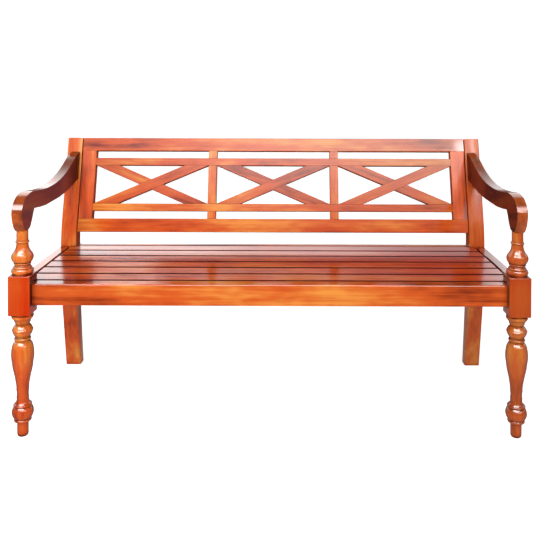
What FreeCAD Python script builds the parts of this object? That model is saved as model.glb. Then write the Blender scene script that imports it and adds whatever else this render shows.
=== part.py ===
"""A slatted hardwood bench: turned front legs, bent rear posts, S-shaped arms and a raked back frame.

Every piece of wood is a body of its own, joined by mortise and tenon, half-laps and dowels.
Millimetres. +X to the sitter's left, +Y to the back, +Z up. The origin is on the floor, under
the middle of the bench. Depths are measured from the front faces of the leg blocks.
"""

import FreeCAD
import Part
import Sketcher
import math
import os

# The driving sizes: name, value and what it measures.
SIZES = (
    ("overall_width", 1500, "over the outer faces of the leg blocks and rear posts"),
    ("back_slope", 349, "start of the rake to the top of the back, along the slope"),
    ("seat_height", 445, "floor to the top of the slats"),
    ("seat_depth", 475, "front of the leg blocks to the front of the rear posts"),
    ("leg_block", 62, "side of the square block of a front leg"),
    ("block_below_rail", 25, "block below the seat rails"),
    ("block_above_seat", 27, "block above the slats"),
    ("block_edge", 1.5, "rounding of the block's upright edges"),
    ("head_length", 128, "turned head of the leg, from the block to the arm"),
    ("turning_step", 45, "most that the turned outline bends from one cut to the next, degrees"),
    ("neck_radius", 16.3, "radius of the plain neck under the arm"),
    ("leg_tenon_radius", 9, "radius of the round tenon in the arm"),
    ("leg_tenon_length", 24, "length of the round tenon in the arm"),
    ("post_width", 53, "rear post, across the bench"),
    ("post_foot_depth", 35, "rear post, front to back at the floor"),
    ("post_seat_depth", 53, "rear post, front to back at the seat"),
    ("post_top_depth", 38, "rear post, front to back at the top"),
    ("post_edge", 2, "rounding of the rear post's edges"),
    ("splay_below_seat", 125, "top of the slats down to where the rear post starts to splay"),
    ("splay_angle", 10.7, "splay of the rear post's foot, degrees"),
    ("rake_above_seat", 40, "top of the slats up to where the rear post starts to rake"),
    ("rake_angle", 15, "rake of the back, degrees"),
    ("bend_reach", 55, "length that each bend takes up on both sides of its corner"),
    ("arm_width", 30, "thickness of the arm board"),
    ("arm_overhang", 14, "arm in front of the leg block"),
    ("arm_rise", 172, "underside of the arm at the leg to its top at the rear post"),
    ("arm_edge", 2.5, "bevel of the arm's edges"),
    ("neck_margin", 0.8, "flat of the arm beyond the neck that it stands on"),
    ("rail_height", 62, "height of the seat rails"),
    ("front_recess", 20, "front rail behind the face of the leg block"),
    ("front_rail_depth", 39, "front rail, front to back"),
    ("front_edge", 4, "rounding of the front rail's top front edge"),
    ("rail_edge", 1.5, "rounding of the rails' other edges"),
    ("rear_recess", 23, "rear rail behind the face of the rear post"),
    ("rear_rail_depth", 21, "rear rail, front to back"),
    ("side_rail_depth", 29, "thickness of a side rail"),
    ("seat_tenon", 14, "thickness of the tenons of the seat frame"),
    ("seat_tenon_shoulder", 9, "rail above and below its tenon"),
    ("seat_tenon_length", 28, "length of the tenons of front and rear rail"),
    ("side_tenon_length", 25, "length of the tenons of a side rail"),
    ("slat_count", 6, "number of seat slats"),
    ("slat_depth", 20, "thickness of the slats"),
    ("slat_gap", 10, "gap between slats"),
    ("slat_end_gap", 6, "gap between slat ends and side rails"),
    ("slat_edge", 2.5, "rounding of the slats' top edges"),
    ("post_clearance", 1, "slat around the rear post"),
    ("bearer_count", 3, "number of bearers under the slats"),
    ("bearer_width", 40, "bearer, across the bench"),
    ("bearer_height", 34, "bearer, top to bottom"),
    ("bearer_tenon_length", 12, "length of a bearer's tenon"),
    ("bearer_tenon_shoulder", 8, "bearer around its tenon"),
    ("cleat_width", 22, "cleat at a side rail, across the bench"),
    ("back_gap", 2.5, "gap between the back frame and a rear post"),
    ("back_recess", 4, "back frame behind the face of the rear posts"),
    ("back_thickness", 28, "thickness of the back frame"),
    ("back_lift", 12, "start of the rake to the back's bottom rail, along the slope"),
    ("back_rail_height", 46.5, "height of the top and bottom rail of the back"),
    ("back_stile_width", 50, "width of the back's end stiles"),
    ("mullion_width", 30, "width of the back's two inner uprights"),
    ("mullion_count", 2, "number of inner uprights"),
    ("slot_height", 27, "height of the long slots"),
    ("inner_rail_height", 26, "height of the back's two inner rails"),
    ("brace_foot", 86, "length of a diagonal's end along the inner rail"),
    ("back_edge", 1, "rounding of the back's edges"),
    ("back_tenon", 10, "thickness of the tenons of the back"),
    ("back_tenon_length", 20, "length of the tenons of the back"),
    ("back_tenon_shoulder", 5, "upright or rail beside its tenon"),
    ("dowel_radius", 5, "radius of the dowels that hold the back"),
    ("dowel_grip", 25, "length of a dowel in the post, and in the back frame"),
    ("arm_tenon", 12, "thickness of the arm's rear tenon"),
    ("arm_tenon_length", 24, "length of the arm's rear tenon"),
    ("arm_tenon_shoulder", 22, "arm above and below its rear tenon"),
    ("overrun", 5, "how far a cut runs past the face that it opens"),
)

# The turning under the block, from the floor up: height as a share of the block's underside,
# radius as a share of half the block, and the bulge to the next point as a share of the chord.
LOWER_TURNING_SHARES = (
    (0, 0.46, 0),
    (0.020, 0.51, 0),
    (0.125, 0.51, 0),
    (0.125, 0.74, 0.190),
    (0.246, 0.76, 0),
    (0.246, 0.84, 0),
    (0.264, 0.84, 0),
    (0.264, 0.73, 0),
    (0.320, 0.60, 0),
    (0.430, 0.60, 0),
    (0.640, 0.98, 0),
    (0.705, 0.98, 0),
    (0.768, 0.68, 0),
    (0.768, 0.78, 0),
    (0.800, 0.78, 0.190),
    (0.903, 0.69, 0),
    (0.955, 0.96, 0),
    (1, 0.96, 0),
)

# The turning between block and arm: height as a share of the way up, radius as a share of half
# the block, bulge as above. The neck's own radius ends it.
UPPER_TURNING_SHARES = (
    (0, 0.97, 0),
    (0.138, 0.97, 0),
    (0.138, 0.84, 0),
    (0.260, 0.73, 0),
    (0.260, 0.80, 0.180),
    (0.540, 0.80, 0),
    (0.735, 0.535, 0),
    (0.735, 0.62, 0),
    (0.788, 0.62, 0),
)

# The arm's outline after the flat that stands on the leg, in the order in which it is drawn:
# along the arm as a share of its reach, height as a share of its rise, bulge to the next point.
ARM_BELOW_SHARES = (
    (0.154, 0.196, 0),
    (0.1755, 0.323, 0.032),
    (0.443, 0.262, 0.019),
    (0.736, 0.317, 0.004),
)
ARM_LOW_END_SHARE = 0.436
ARM_ABOVE_SHARES = (
    (0.823, 0.815, -0.044),
    (0.475, 0.563, -0.022),
    (0.214, 0.593, 0.055),
    (0.085, 0.590, 0.125),
    (0, 0.360, 0.107),
)
ARM_TOP_BULGE_SHARE = 0.034
ARM_NECK_BULGE_SHARE = 0.045

# The two bends of the rear post's back edge: how far each has moved back at its end, as a share
# of what the front edge has moved there, and its bulge as a share of its chord.
POST_SPLAY_SHARE = 0.5
POST_SPLAY_BULGE_SHARE = 0.018
POST_RAKE_SHARE = 0.75
POST_RAKE_BULGE_SHARE = 0.028

# Two places closer than this, in millimetres, count as the same.
CLOSE = 0.001

# Lengths that follow from the driving sizes, written as expressions for the sheet.
HALF_WIDTH = "overall_width / 2"
HALF_BLOCK = "leg_block / 2"
RAKE_SINE = "sin(rake_angle)"
RAKE_COSINE = "cos(rake_angle)"
BLOCK_TOP = "(seat_height + block_above_seat)"
BLOCK_BOTTOM = "(seat_height - rail_height - block_below_rail)"
LEG_TOP = f"({BLOCK_TOP} + head_length)"
ARM_TOP = f"({LEG_TOP} + arm_rise)"
SPLAY_START = "(seat_height - splay_below_seat)"
RAKE_START = "(seat_height + rake_above_seat)"
FRONT_END = "(0 - arm_overhang)"
BACK_END = f"(seat_depth + back_slope * {RAKE_SINE} + post_top_depth * {RAKE_COSINE})"
SHIFT = f"(0 - ({FRONT_END} + {BACK_END}) / 2)"
RAIL_BOTTOM = "(seat_height - rail_height)"
SLAT_BOTTOM = "(seat_height - slat_depth)"
SEAT_FRONT = "(front_recess + front_rail_depth)"
REAR_RAIL_FRONT = "(seat_depth + rear_recess)"
SLAT_WIDTH = f"(({REAR_RAIL_FRONT} - {SEAT_FRONT} - (slat_count + 1) * slat_gap) / slat_count)"
SIDE_RAIL_FACE = f"({HALF_WIDTH} - side_rail_depth)"
POST_FACE = f"({HALF_WIDTH} - post_width)"
BLOCK_FACE = f"({HALF_WIDTH} - leg_block)"
BACK_HALF = f"({POST_FACE} - back_gap)"
OPEN_HALF = f"({BACK_HALF} - back_stile_width)"
BAY_WIDTH = f"((2 * {OPEN_HALF} - mullion_count * mullion_width) / (mullion_count + 1))"
LOWER_RAIL_TOP = "(back_lift + back_rail_height)"
LOWER_INNER = f"({LOWER_RAIL_TOP} + slot_height)"
UPPER_RAIL = "(back_slope - back_rail_height)"
UPPER_INNER = f"({UPPER_RAIL} - slot_height - inner_rail_height)"
BRACE_BOTTOM = f"({LOWER_INNER} + inner_rail_height)"
BRACE_HEIGHT = f"({UPPER_INNER} - {BRACE_BOTTOM})"
BACK_MIDDLE = "(back_recess + back_thickness / 2)"
TENON_HEIGHT = "(rail_height - 2 * seat_tenon_shoulder)"
TENON_BOTTOM = f"({RAIL_BOTTOM} + seat_tenon_shoulder)"
FRONT_TENON = "(front_recess + (leg_block - front_recess - seat_tenon) / 2)"

X_AXIS = FreeCAD.Vector(1, 0, 0)
Y_AXIS = FreeCAD.Vector(0, 1, 0)
Z_AXIS = FreeCAD.Vector(0, 0, 1)
ORIGIN = ("0", "0", "0")
SIDES = (("left", -1), ("right", 1))

doc = FreeCAD.newDocument("bench")
sheet = doc.addObject("Spreadsheet::Sheet", "Sizes")
for row, (name, value, note) in enumerate(SIZES, 1):
    sheet.set(f"A{row}", name)
    sheet.set(f"B{row}", str(value))
    sheet.setAlias(f"B{row}", name)
    sheet.set(f"C{row}", note)
doc.recompute()
NAMES = sorted((name for name, value, note in SIZES), key=len, reverse=True)
bodies = []


def linked(text):
    """The expression with every size written as a cell of the sheet."""
    words = []
    word = ""
    for letter in str(text) + " ":
        if letter.isalnum() or letter in "_.":
            word += letter
        else:
            words.append(f"Sizes.{word}" if word in NAMES else word)
            words.append(letter)
            word = ""
    return "".join(words).strip()


def measure(text):
    """The expression's value now, in millimetres or as a count."""
    return float(sheet.evalExpression(linked(text)))


def bind(thing, **properties):
    """Ties each property to its expression; a double underscore stands for a dot."""
    for name, text in properties.items():
        thing.setExpression(name.replace("__", "."), linked(text))


def body(label, x="0", y="0", z="0", tilt="0"):
    """A new sub-part, placed by expressions and tilted about the X axis."""
    made = doc.addObject("PartDesign::Body", label)
    made.Label = label
    turn = f"rotation(vector(1; 0; 0); {linked(tilt)})"
    made.setExpression("Placement", f"placement(vector({linked(x)}; {linked(y)}; {linked(z)}); {turn})")
    bodies.append(made)
    return made


def block(owner, kind, name, corner, size):
    """A box added to the body or cut from it: its low corner and its three sides."""
    made = owner.newObject(f"PartDesign::{kind}Box", f"{owner.Label}_{name}")
    bind(made, Length=size[0], Width=size[1], Height=size[2])
    bind(made, Placement__Base__x=corner[0], Placement__Base__y=corner[1], Placement__Base__z=corner[2])
    return made


def bore(owner, name, start, direction, radius, length):
    """A round hole cut from the body, from its start along a direction."""
    made = owner.newObject("PartDesign::SubtractiveCylinder", f"{owner.Label}_{name}")
    made.Placement = FreeCAD.Placement(FreeCAD.Vector(), FreeCAD.Rotation(Z_AXIS, direction))
    bind(made, Radius=radius, Height=length)
    bind(made, Placement__Base__x=start[0], Placement__Base__y=start[1], Placement__Base__z=start[2])
    return made


def sketch_on(owner, name, role, offset="0"):
    """A sketch on one of the body's own planes, moved along the plane's normal."""
    made = owner.newObject("Sketcher::SketchObject", f"{owner.Label}_{name}")
    made.AttachmentSupport = (next(f for f in owner.Origin.OriginFeatures if f.Role == role), [""])
    made.MapMode = "FlatFace"
    bind(made, AttachmentOffset__Base__z=offset)
    return made


def pin(sketch, edge, end, text, along, rules):
    """Ties one coordinate of an edge's end to an expression."""
    if text == "0":
        axis = -2 if along == "X" else -1
        sketch.addConstraint(Sketcher.Constraint("PointOnObject", edge, end, axis))
        return
    number = sketch.addConstraint(Sketcher.Constraint("Distance" + along, -1, 1, edge, end, measure(text)))
    rules.append((number, text))


def outline(sketch, points):
    """A closed outline through points (across, up, bulge), each edge straight or an arc."""
    spots = [FreeCAD.Vector(measure(across), measure(up), 0) for across, up, bulge in points]
    starts = []
    rules = []
    for index, (across, up, bulge) in enumerate(points):
        here = spots[index]
        there = spots[(index + 1) % len(spots)]
        chord = there - here
        if bulge:
            outward = FreeCAD.Vector(chord.y, -chord.x, 0)
            middle = (here + there) * 0.5 + outward * bulge
            edge = sketch.addGeometry(Part.ArcOfCircle(here, middle, there), False)
        else:
            edge = sketch.addGeometry(Part.LineSegment(here, there), False)
        first_end = sketch.getPoint(edge, 1)
        starts.append(1 if (first_end - here).Length < (first_end - there).Length else 2)
    for index, (across, up, bulge) in enumerate(points):
        following = (index + 1) % len(points)
        ends = (index, 3 - starts[index], following, starts[following])
        sketch.addConstraint(Sketcher.Constraint("Coincident", *ends))
    for index, (across, up, bulge) in enumerate(points):
        pin(sketch, index, starts[index], across, "X", rules)
        pin(sketch, index, starts[index], up, "Y", rules)
        if bulge:
            next_across, next_up, unused = points[(index + 1) % len(points)]
            chord = f"sqrt((({next_across}) - ({across}))^2 + (({next_up}) - ({up}))^2)"
            share = abs(bulge)
            text = f"{chord} * (1 + 4 * {share}^2) / (8 * {share})"
            number = sketch.addConstraint(Sketcher.Constraint("Radius", index, measure(text)))
            rules.append((number, text))
    for number, text in rules:
        sketch.setExpression(f"Constraints[{number}]", linked(text))


def pad(owner, sketch, name, length, kind="Pad"):
    """The sketch pushed along its normal, added to the body or cut from it."""
    made = owner.newObject(f"PartDesign::{kind}", f"{owner.Label}_{name}")
    made.Profile = sketch
    if kind == "Pocket":
        made.Reversed = True
    bind(made, Length=length)
    return made


def is_along(edge, axis):
    """Whether a straight edge runs along an axis."""
    if edge.Curve.TypeId != "Part::GeomLine":
        return False
    return edge.tangentAt(edge.FirstParameter).cross(axis).Length < CLOSE


def soften(owner, feature, size, wanted, name="edges", kind="Fillet"):
    """Rounds or bevels the edges of a feature that the test picks."""
    doc.recompute()
    picked = [f"Edge{n}" for n, edge in enumerate(feature.Shape.Edges, 1) if wanted(edge)]
    made = owner.newObject(f"PartDesign::{kind}", f"{owner.Label}_{name}")
    made.Base = (feature, picked)
    made.setExpression("Radius" if kind == "Fillet" else "Size", linked(size))
    return made


def inward_span(side, inner, outer):
    """Low corner and width of a span between two distances from the middle, on one side."""
    low = inner if side > 0 else f"(0 - {outer})"
    return low, f"({outer} - {inner})"


def scaled(points, base, rise, run):
    """Turning points as expressions: radius first, then height."""
    return [(f"{radius} * {run}", f"{base} + {height} * {rise}", bulge) for height, radius, bulge in points]


def chorded(points):
    """The open outline with each bulge cut into chords of at most one turning step."""
    cut = []
    step = math.radians(measure("turning_step"))
    for (across, up, bulge), (next_across, next_up, unused) in zip(points, points[1:]):
        half = 2 * math.atan(2 * bulge)
        count = max(1, math.ceil(abs(2 * half) / step))
        cut.append((across, up, 0))
        for number in range(1, count):
            angle = half * (2 * number / count - 1)
            along = (math.sin(angle) / math.sin(half) + 1) / 2
            out = (math.cos(angle) - math.cos(half)) / (2 * math.sin(half))
            run = f"(({next_across}) - ({across}))"
            rise = f"(({next_up}) - ({up}))"
            cut.append((f"{across} + {run} * {along} + {rise} * {out}",
                        f"{up} + {rise} * {along} - {run} * {out}", 0))
    return cut + points[-1:]


def turning(owner, name, points):
    """A solid of revolution about the leg's own axis."""
    sketch = sketch_on(owner, f"{name}_profile", "XZ_Plane")
    bottom = points[0][1]
    top = points[-1][1]
    outline(sketch, [("0", bottom, 0)] + chorded(points) + [("0", top, 0)])
    made = owner.newObject("PartDesign::Revolution", f"{owner.Label}_{name}")
    made.Profile = sketch
    made.ReferenceAxis = (sketch, ["V_Axis"])
    made.Angle = 360
    return made


def front_leg(name, side):
    """A turned leg around its square block, with a round tenon on top and two mortises."""
    made = body(f"front_leg_{name}", f"{side} * ({HALF_WIDTH} - {HALF_BLOCK})", f"{SHIFT} + {HALF_BLOCK}")
    height = f"({BLOCK_TOP} - {BLOCK_BOTTOM})"
    square = block(made, "Additive", "block", (f"0 - {HALF_BLOCK}", f"0 - {HALF_BLOCK}", BLOCK_BOTTOM),
                   ("leg_block", "leg_block", height))
    soften(made, square, "block_edge", lambda edge: is_along(edge, Z_AXIS))
    lower = scaled(LOWER_TURNING_SHARES, "0", BLOCK_BOTTOM, HALF_BLOCK)
    lower[0] = (lower[0][0], "0", lower[0][2])
    turning(made, "foot", lower)
    upper = scaled(UPPER_TURNING_SHARES, BLOCK_TOP, f"({LEG_TOP} - {BLOCK_TOP})", HALF_BLOCK)
    upper[0] = (upper[0][0], BLOCK_TOP, upper[0][2])
    neck = [(f"{UPPER_TURNING_SHARES[-1][1]} * {HALF_BLOCK}", upper[-1][1], 0)]
    upper = upper[:-1] + neck
    ring_top = upper[-1][1]
    upper += [("neck_radius", ring_top, 0), ("neck_radius", LEG_TOP, 0)]
    upper += [("leg_tenon_radius", LEG_TOP, 0), ("leg_tenon_radius", f"{LEG_TOP} + leg_tenon_length", 0)]
    turning(made, "head", upper)
    start, width = inward_span(-side, f"({HALF_BLOCK} - seat_tenon_length)", f"({HALF_BLOCK} + overrun)")
    block(made, "Subtractive", "front_mortise", (start, f"{FRONT_TENON} - {HALF_BLOCK}", TENON_BOTTOM),
          (width, "seat_tenon", TENON_HEIGHT))
    inner = f"({HALF_BLOCK} - side_rail_depth / 2 - seat_tenon / 2)"
    start, width = inward_span(side, inner, f"({inner} + seat_tenon)")
    block(made, "Subtractive", "side_mortise", (start, f"{HALF_BLOCK} - side_tenon_length", TENON_BOTTOM),
          (width, "side_tenon_length + overrun", TENON_HEIGHT))


def raked(height):
    """Depth of the rear post's front face at a height above the start of the rake."""
    return f"(seat_depth + (({height}) - {RAKE_START}) * tan(rake_angle))"


def arm_tenon_outline():
    """Side view of the arm's rear tenon, which starts on the raked face of the post."""
    low = f"({LEG_TOP} + {ARM_LOW_END_SHARE} * arm_rise + arm_tenon_shoulder)"
    high = f"({ARM_TOP} - arm_tenon_shoulder)"
    return [(raked(low), low, 0), (f"{raked(low)} + arm_tenon_length", low, 0),
            (f"{raked(high)} + arm_tenon_length", high, 0), (raked(high), high, 0)]


def dowel_heights():
    """Where the back's dowels sit along the slope: outside the tenons of top and bottom rail."""
    edge = "(back_rail_height - back_tenon_length) / 2"
    return f"(back_lift + {edge})", f"(back_slope - {edge})"


def on_slope(across, up):
    """Depth and height of a point of the back, from its place across and up the slope."""
    depth = f"(seat_depth + ({up}) * {RAKE_SINE} + ({across}) * {RAKE_COSINE})"
    height = f"({RAKE_START} + ({up}) * {RAKE_COSINE} - ({across}) * {RAKE_SINE})"
    return depth, height


def rear_post(name, side):
    """A rear post cut from a plank: splayed foot, upright at the seat, raked above."""
    start, width = inward_span(side, POST_FACE, HALF_WIDTH)
    made = body(f"rear_post_{name}", start, SHIFT)
    foot = f"(seat_depth + {SPLAY_START} * tan(splay_angle))"
    splay_reach = "(bend_reach * sin(splay_angle))"
    rake_reach = f"(bend_reach * {RAKE_SINE})"
    top_depth, top_height = on_slope("0", "back_slope")
    back_depth, back_height = on_slope("post_top_depth", "back_slope")
    back = "(seat_depth + post_seat_depth)"
    splay_bulge = math.tan(math.radians(measure("splay_angle")) / 4) / 2
    rake_bulge = math.tan(math.radians(measure("rake_angle")) / 4) / 2
    side_view = [
        (foot, "0", 0),
        (f"{foot} + post_foot_depth", "0", 0),
        (f"{back} + {splay_reach} * {POST_SPLAY_SHARE}", f"{SPLAY_START} - bend_reach",
         -POST_SPLAY_BULGE_SHARE),
        (back, f"{SPLAY_START} + bend_reach", 0),
        (back, f"{RAKE_START} - bend_reach", -POST_RAKE_BULGE_SHARE),
        (f"{back} + {rake_reach} * {POST_RAKE_SHARE}", f"{RAKE_START} + bend_reach", 0),
        (back_depth, back_height, 0),
        (top_depth, top_height, 0),
        (f"seat_depth + {rake_reach}", f"{RAKE_START} + bend_reach * {RAKE_COSINE}", rake_bulge),
        ("seat_depth", f"{RAKE_START} - bend_reach", 0),
        ("seat_depth", f"{SPLAY_START} + bend_reach", splay_bulge),
        (f"seat_depth + {splay_reach}", f"{SPLAY_START} - bend_reach * cos(splay_angle)", 0),
    ]
    sketch = sketch_on(made, "side_view", "YZ_Plane")
    outline(sketch, side_view)
    plank = pad(made, sketch, "plank", "post_width")
    end = measure(back_height)
    soften(made, plank, "post_edge", lambda edge: edge.BoundBox.XLength < CLOSE < edge.BoundBox.ZMax
           and edge.BoundBox.ZMin < end - CLOSE, kind="Chamfer")
    tenon = sketch_on(made, "arm_mortise_view", "YZ_Plane",
                      f"{'post_width - leg_block / 2' if side > 0 else 'leg_block / 2'} - arm_tenon / 2")
    outline(tenon, arm_tenon_outline())
    pad(made, tenon, "arm_mortise", "arm_tenon", "Pocket")
    inner = "(post_width - side_rail_depth / 2 - seat_tenon / 2)"
    near = inner if side > 0 else "(side_rail_depth / 2 - seat_tenon / 2)"
    block(made, "Subtractive", "side_mortise", (near, "seat_depth - overrun", TENON_BOTTOM),
          ("seat_tenon", "side_tenon_length + overrun", TENON_HEIGHT))
    near = "0 - overrun" if side > 0 else "post_width - seat_tenon_length"
    block(made, "Subtractive", "rear_mortise",
          (near, f"{REAR_RAIL_FRONT} + rear_rail_depth / 2 - seat_tenon / 2", TENON_BOTTOM),
          ("seat_tenon_length + overrun", "seat_tenon", TENON_HEIGHT))
    for number, up in enumerate(dowel_heights(), 1):
        depth, height = on_slope(BACK_MIDDLE, up)
        near = "0 - overrun" if side > 0 else "post_width - dowel_grip"
        bore(made, f"dowel_hole_{number}", (near, depth, height), X_AXIS,
             "dowel_radius", "dowel_grip + overrun")


def arm(name, side):
    """A flat S-shaped arm with a scroll on the leg and a tenon in the rear post."""
    across = f"{side} * ({HALF_WIDTH} - {HALF_BLOCK}) - arm_width / 2"
    made = body(f"arm_{name}", across, f"{SHIFT} - arm_overhang")
    low_end = f"({LEG_TOP} + {ARM_LOW_END_SHARE} * arm_rise)"
    reach = f"({raked(ARM_TOP)} + arm_overhang)"
    axis = f"({HALF_BLOCK} + arm_overhang)"

    def along(shares):
        return [(f"{share} * {reach}", f"{LEG_TOP} + {rise} * arm_rise", bulge)
                for share, rise, bulge in shares]

    above = along(ARM_ABOVE_SHARES)
    above[-1] = ("0", above[-1][1], above[-1][2])
    side_view = [
        (f"{axis} - neck_radius - neck_margin", LEG_TOP, 0),
        (f"{axis} + neck_radius + neck_margin", LEG_TOP, ARM_NECK_BULGE_SHARE),
    ]
    side_view += along(ARM_BELOW_SHARES)
    side_view += [
        (f"{raked(low_end)} + arm_overhang", low_end, 0),
        (f"{raked(ARM_TOP)} + arm_overhang", ARM_TOP, ARM_TOP_BULGE_SHARE),
    ]
    side_view += above
    sketch = sketch_on(made, "side_view", "YZ_Plane")
    outline(sketch, side_view)
    board = pad(made, sketch, "board", "arm_width")
    back_end = measure(f"{raked(low_end)} + arm_overhang") - CLOSE
    flat_end = measure(f"{axis} + neck_radius + neck_margin") + CLOSE
    shoulder = measure(LEG_TOP) + CLOSE
    soften(made, board, "arm_edge", lambda edge: edge.BoundBox.XLength < CLOSE
           and edge.BoundBox.YMin < back_end
           and (edge.BoundBox.ZMin > shoulder or edge.BoundBox.YMax < flat_end), kind="Chamfer")
    tenon = sketch_on(made, "tenon_view", "YZ_Plane", "arm_width / 2 - arm_tenon / 2")
    outline(tenon, [(f"{across} + arm_overhang", up, bulge) for across, up, bulge in arm_tenon_outline()])
    pad(made, tenon, "tenon", "arm_tenon")
    bore(made, "leg_bore", ("arm_width / 2", axis, f"{LEG_TOP} - overrun"), Z_AXIS, "leg_tenon_radius",
         "leg_tenon_length + overrun")


def front_rail():
    """The front seat rail between the leg blocks, mortised behind for the bearers."""
    made = body("front_seat_rail", "0", f"{SHIFT} + front_recess", RAIL_BOTTOM)
    beam = block(made, "Additive", "beam", (f"0 - {BLOCK_FACE}", "0", "0"),
                 (f"2 * {BLOCK_FACE}", "front_rail_depth", "rail_height"))
    top = measure("rail_height") - CLOSE
    back = measure("front_rail_depth") - CLOSE
    front = soften(made, beam, "front_edge", lambda edge: is_along(edge, X_AXIS)
                   and edge.BoundBox.YMax < CLOSE and edge.BoundBox.ZMin > top, "front_edge")
    soften(made, front, "rail_edge", lambda edge: is_along(edge, X_AXIS)
           and (edge.BoundBox.ZMax < CLOSE or edge.BoundBox.YMin > back), "other_edges", "Chamfer")
    for name, side in SIDES:
        start, width = inward_span(side, BLOCK_FACE, f"({BLOCK_FACE} + seat_tenon_length)")
        block(made, "Additive", f"tenon_{name}",
              (start, f"{FRONT_TENON} - front_recess", "seat_tenon_shoulder"),
              (width, "seat_tenon", TENON_HEIGHT))
    for number in range(int(measure("bearer_count"))):
        block(made, "Subtractive", f"bearer_mortise_{number + 1}",
              (f"{bearer_place(number)} + bearer_tenon_shoulder", "front_rail_depth - bearer_tenon_length",
               f"{SLAT_BOTTOM} - bearer_height + bearer_tenon_shoulder - {RAIL_BOTTOM}"),
              ("bearer_width - 2 * bearer_tenon_shoulder", "bearer_tenon_length + overrun",
               "bearer_height - 2 * bearer_tenon_shoulder"))


def bearer_place(number):
    """Left face of a bearer: they share the length between the leg blocks."""
    return f"(({number} + 1) * 2 * {BLOCK_FACE} / (bearer_count + 1) - {BLOCK_FACE} - bearer_width / 2)"


def rear_rail():
    """The rear seat rail between the rear posts, level with the slats."""
    made = body("rear_seat_rail", "0", f"{SHIFT} + {REAR_RAIL_FRONT}", RAIL_BOTTOM)
    beam = block(made, "Additive", "beam", (f"0 - {POST_FACE}", "0", "0"),
                 (f"2 * {POST_FACE}", "rear_rail_depth", "rail_height"))
    soften(made, beam, "rail_edge", lambda edge: is_along(edge, X_AXIS), kind="Chamfer")
    for name, side in SIDES:
        start, width = inward_span(side, POST_FACE, f"({POST_FACE} + seat_tenon_length)")
        block(made, "Additive", f"tenon_{name}",
              (start, "rear_rail_depth / 2 - seat_tenon / 2", "seat_tenon_shoulder"),
              (width, "seat_tenon", TENON_HEIGHT))
    for number in range(int(measure("bearer_count"))):
        block(made, "Subtractive", f"bearer_mortise_{number + 1}",
              (f"{bearer_place(number)} + bearer_tenon_shoulder", "0 - overrun",
               f"{SLAT_BOTTOM} - bearer_height + bearer_tenon_shoulder - {RAIL_BOTTOM}"),
              ("bearer_width - 2 * bearer_tenon_shoulder", "bearer_tenon_length + overrun",
               "bearer_height - 2 * bearer_tenon_shoulder"))


def side_rail(name, side):
    """A side seat rail, flush with the outer faces of leg block and rear post."""
    start, width = inward_span(side, SIDE_RAIL_FACE, HALF_WIDTH)
    made = body(f"side_seat_rail_{name}", start, f"{SHIFT} + leg_block", RAIL_BOTTOM)
    beam = block(made, "Additive", "beam", ORIGIN, (width, "seat_depth - leg_block", "rail_height"))
    soften(made, beam, "rail_edge", lambda edge: is_along(edge, Y_AXIS), kind="Chamfer")
    middle = "side_rail_depth / 2 - seat_tenon / 2"
    block(made, "Additive", "front_tenon", (middle, "0 - side_tenon_length", "seat_tenon_shoulder"),
          ("seat_tenon", "side_tenon_length", TENON_HEIGHT))
    block(made, "Additive", "rear_tenon", (middle, "seat_depth - leg_block", "seat_tenon_shoulder"),
          ("seat_tenon", "side_tenon_length", TENON_HEIGHT))


def bearer(number):
    """A bearer under the slats, tenoned into the front and the rear rail."""
    made = body(f"seat_bearer_{number + 1}", bearer_place(number), f"{SHIFT} + {SEAT_FRONT}",
                f"{SLAT_BOTTOM} - bearer_height")
    span = f"({REAR_RAIL_FRONT} - {SEAT_FRONT})"
    block(made, "Additive", "beam", ORIGIN, ("bearer_width", span, "bearer_height"))
    block(made, "Additive", "tenons",
          ("bearer_tenon_shoulder", "0 - bearer_tenon_length", "bearer_tenon_shoulder"),
          ("bearer_width - 2 * bearer_tenon_shoulder", f"{span} + 2 * bearer_tenon_length",
           "bearer_height - 2 * bearer_tenon_shoulder"))


def cleat(name, side):
    """A cleat on a side rail, from leg block to rear post, that carries the slat ends."""
    start, width = inward_span(side, f"({SIDE_RAIL_FACE} - cleat_width)", SIDE_RAIL_FACE)
    made = body(f"slat_cleat_{name}", start, f"{SHIFT} + leg_block", f"{SLAT_BOTTOM} - bearer_height")
    block(made, "Additive", "beam", ORIGIN, (width, "seat_depth - leg_block", "bearer_height"))


def slat(number):
    """A seat slat with rounded top edges; the rearmost one is notched round the posts."""
    front = f"({SEAT_FRONT} + slat_gap + {number} * ({SLAT_WIDTH} + slat_gap))"
    half = f"({SIDE_RAIL_FACE} - slat_end_gap)"
    made = body(f"seat_slat_{number + 1}", f"0 - {half}", f"{SHIFT} + {front}", SLAT_BOTTOM)
    board = block(made, "Additive", "board", ORIGIN, (f"2 * {half}", SLAT_WIDTH, "slat_depth"))
    top = measure("slat_depth")
    soften(made, board, "slat_edge", lambda edge: edge.BoundBox.ZMin > top - CLOSE)
    notch_front = f"(seat_depth - post_clearance - {front})"
    if measure(notch_front) < measure(SLAT_WIDTH):
        notch_length = f"({half} - {POST_FACE} + post_clearance)"
        for name, start in (("left", "0 - overrun"), ("right", f"2 * {half} - {notch_length}")):
            block(made, "Subtractive", f"notch_{name}", (start, notch_front, "0 - overrun"),
                  (f"{notch_length} + overrun", f"{SLAT_WIDTH} - {notch_front} + overrun",
                   "slat_depth + 2 * overrun"))


def back_body(label, x, up):
    """A sub-part of the back frame, in the frame's own raked plane."""
    depth, height = on_slope("back_recess", up)
    return body(label, x, f"{SHIFT} + {depth}", height, "0 - rake_angle")


def mullion_place(number):
    """Left face of an inner upright of the back, from the frame's middle."""
    return f"({number} * ({BAY_WIDTH} + mullion_width) + {BAY_WIDTH} + back_stile_width - {BACK_HALF})"


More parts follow.
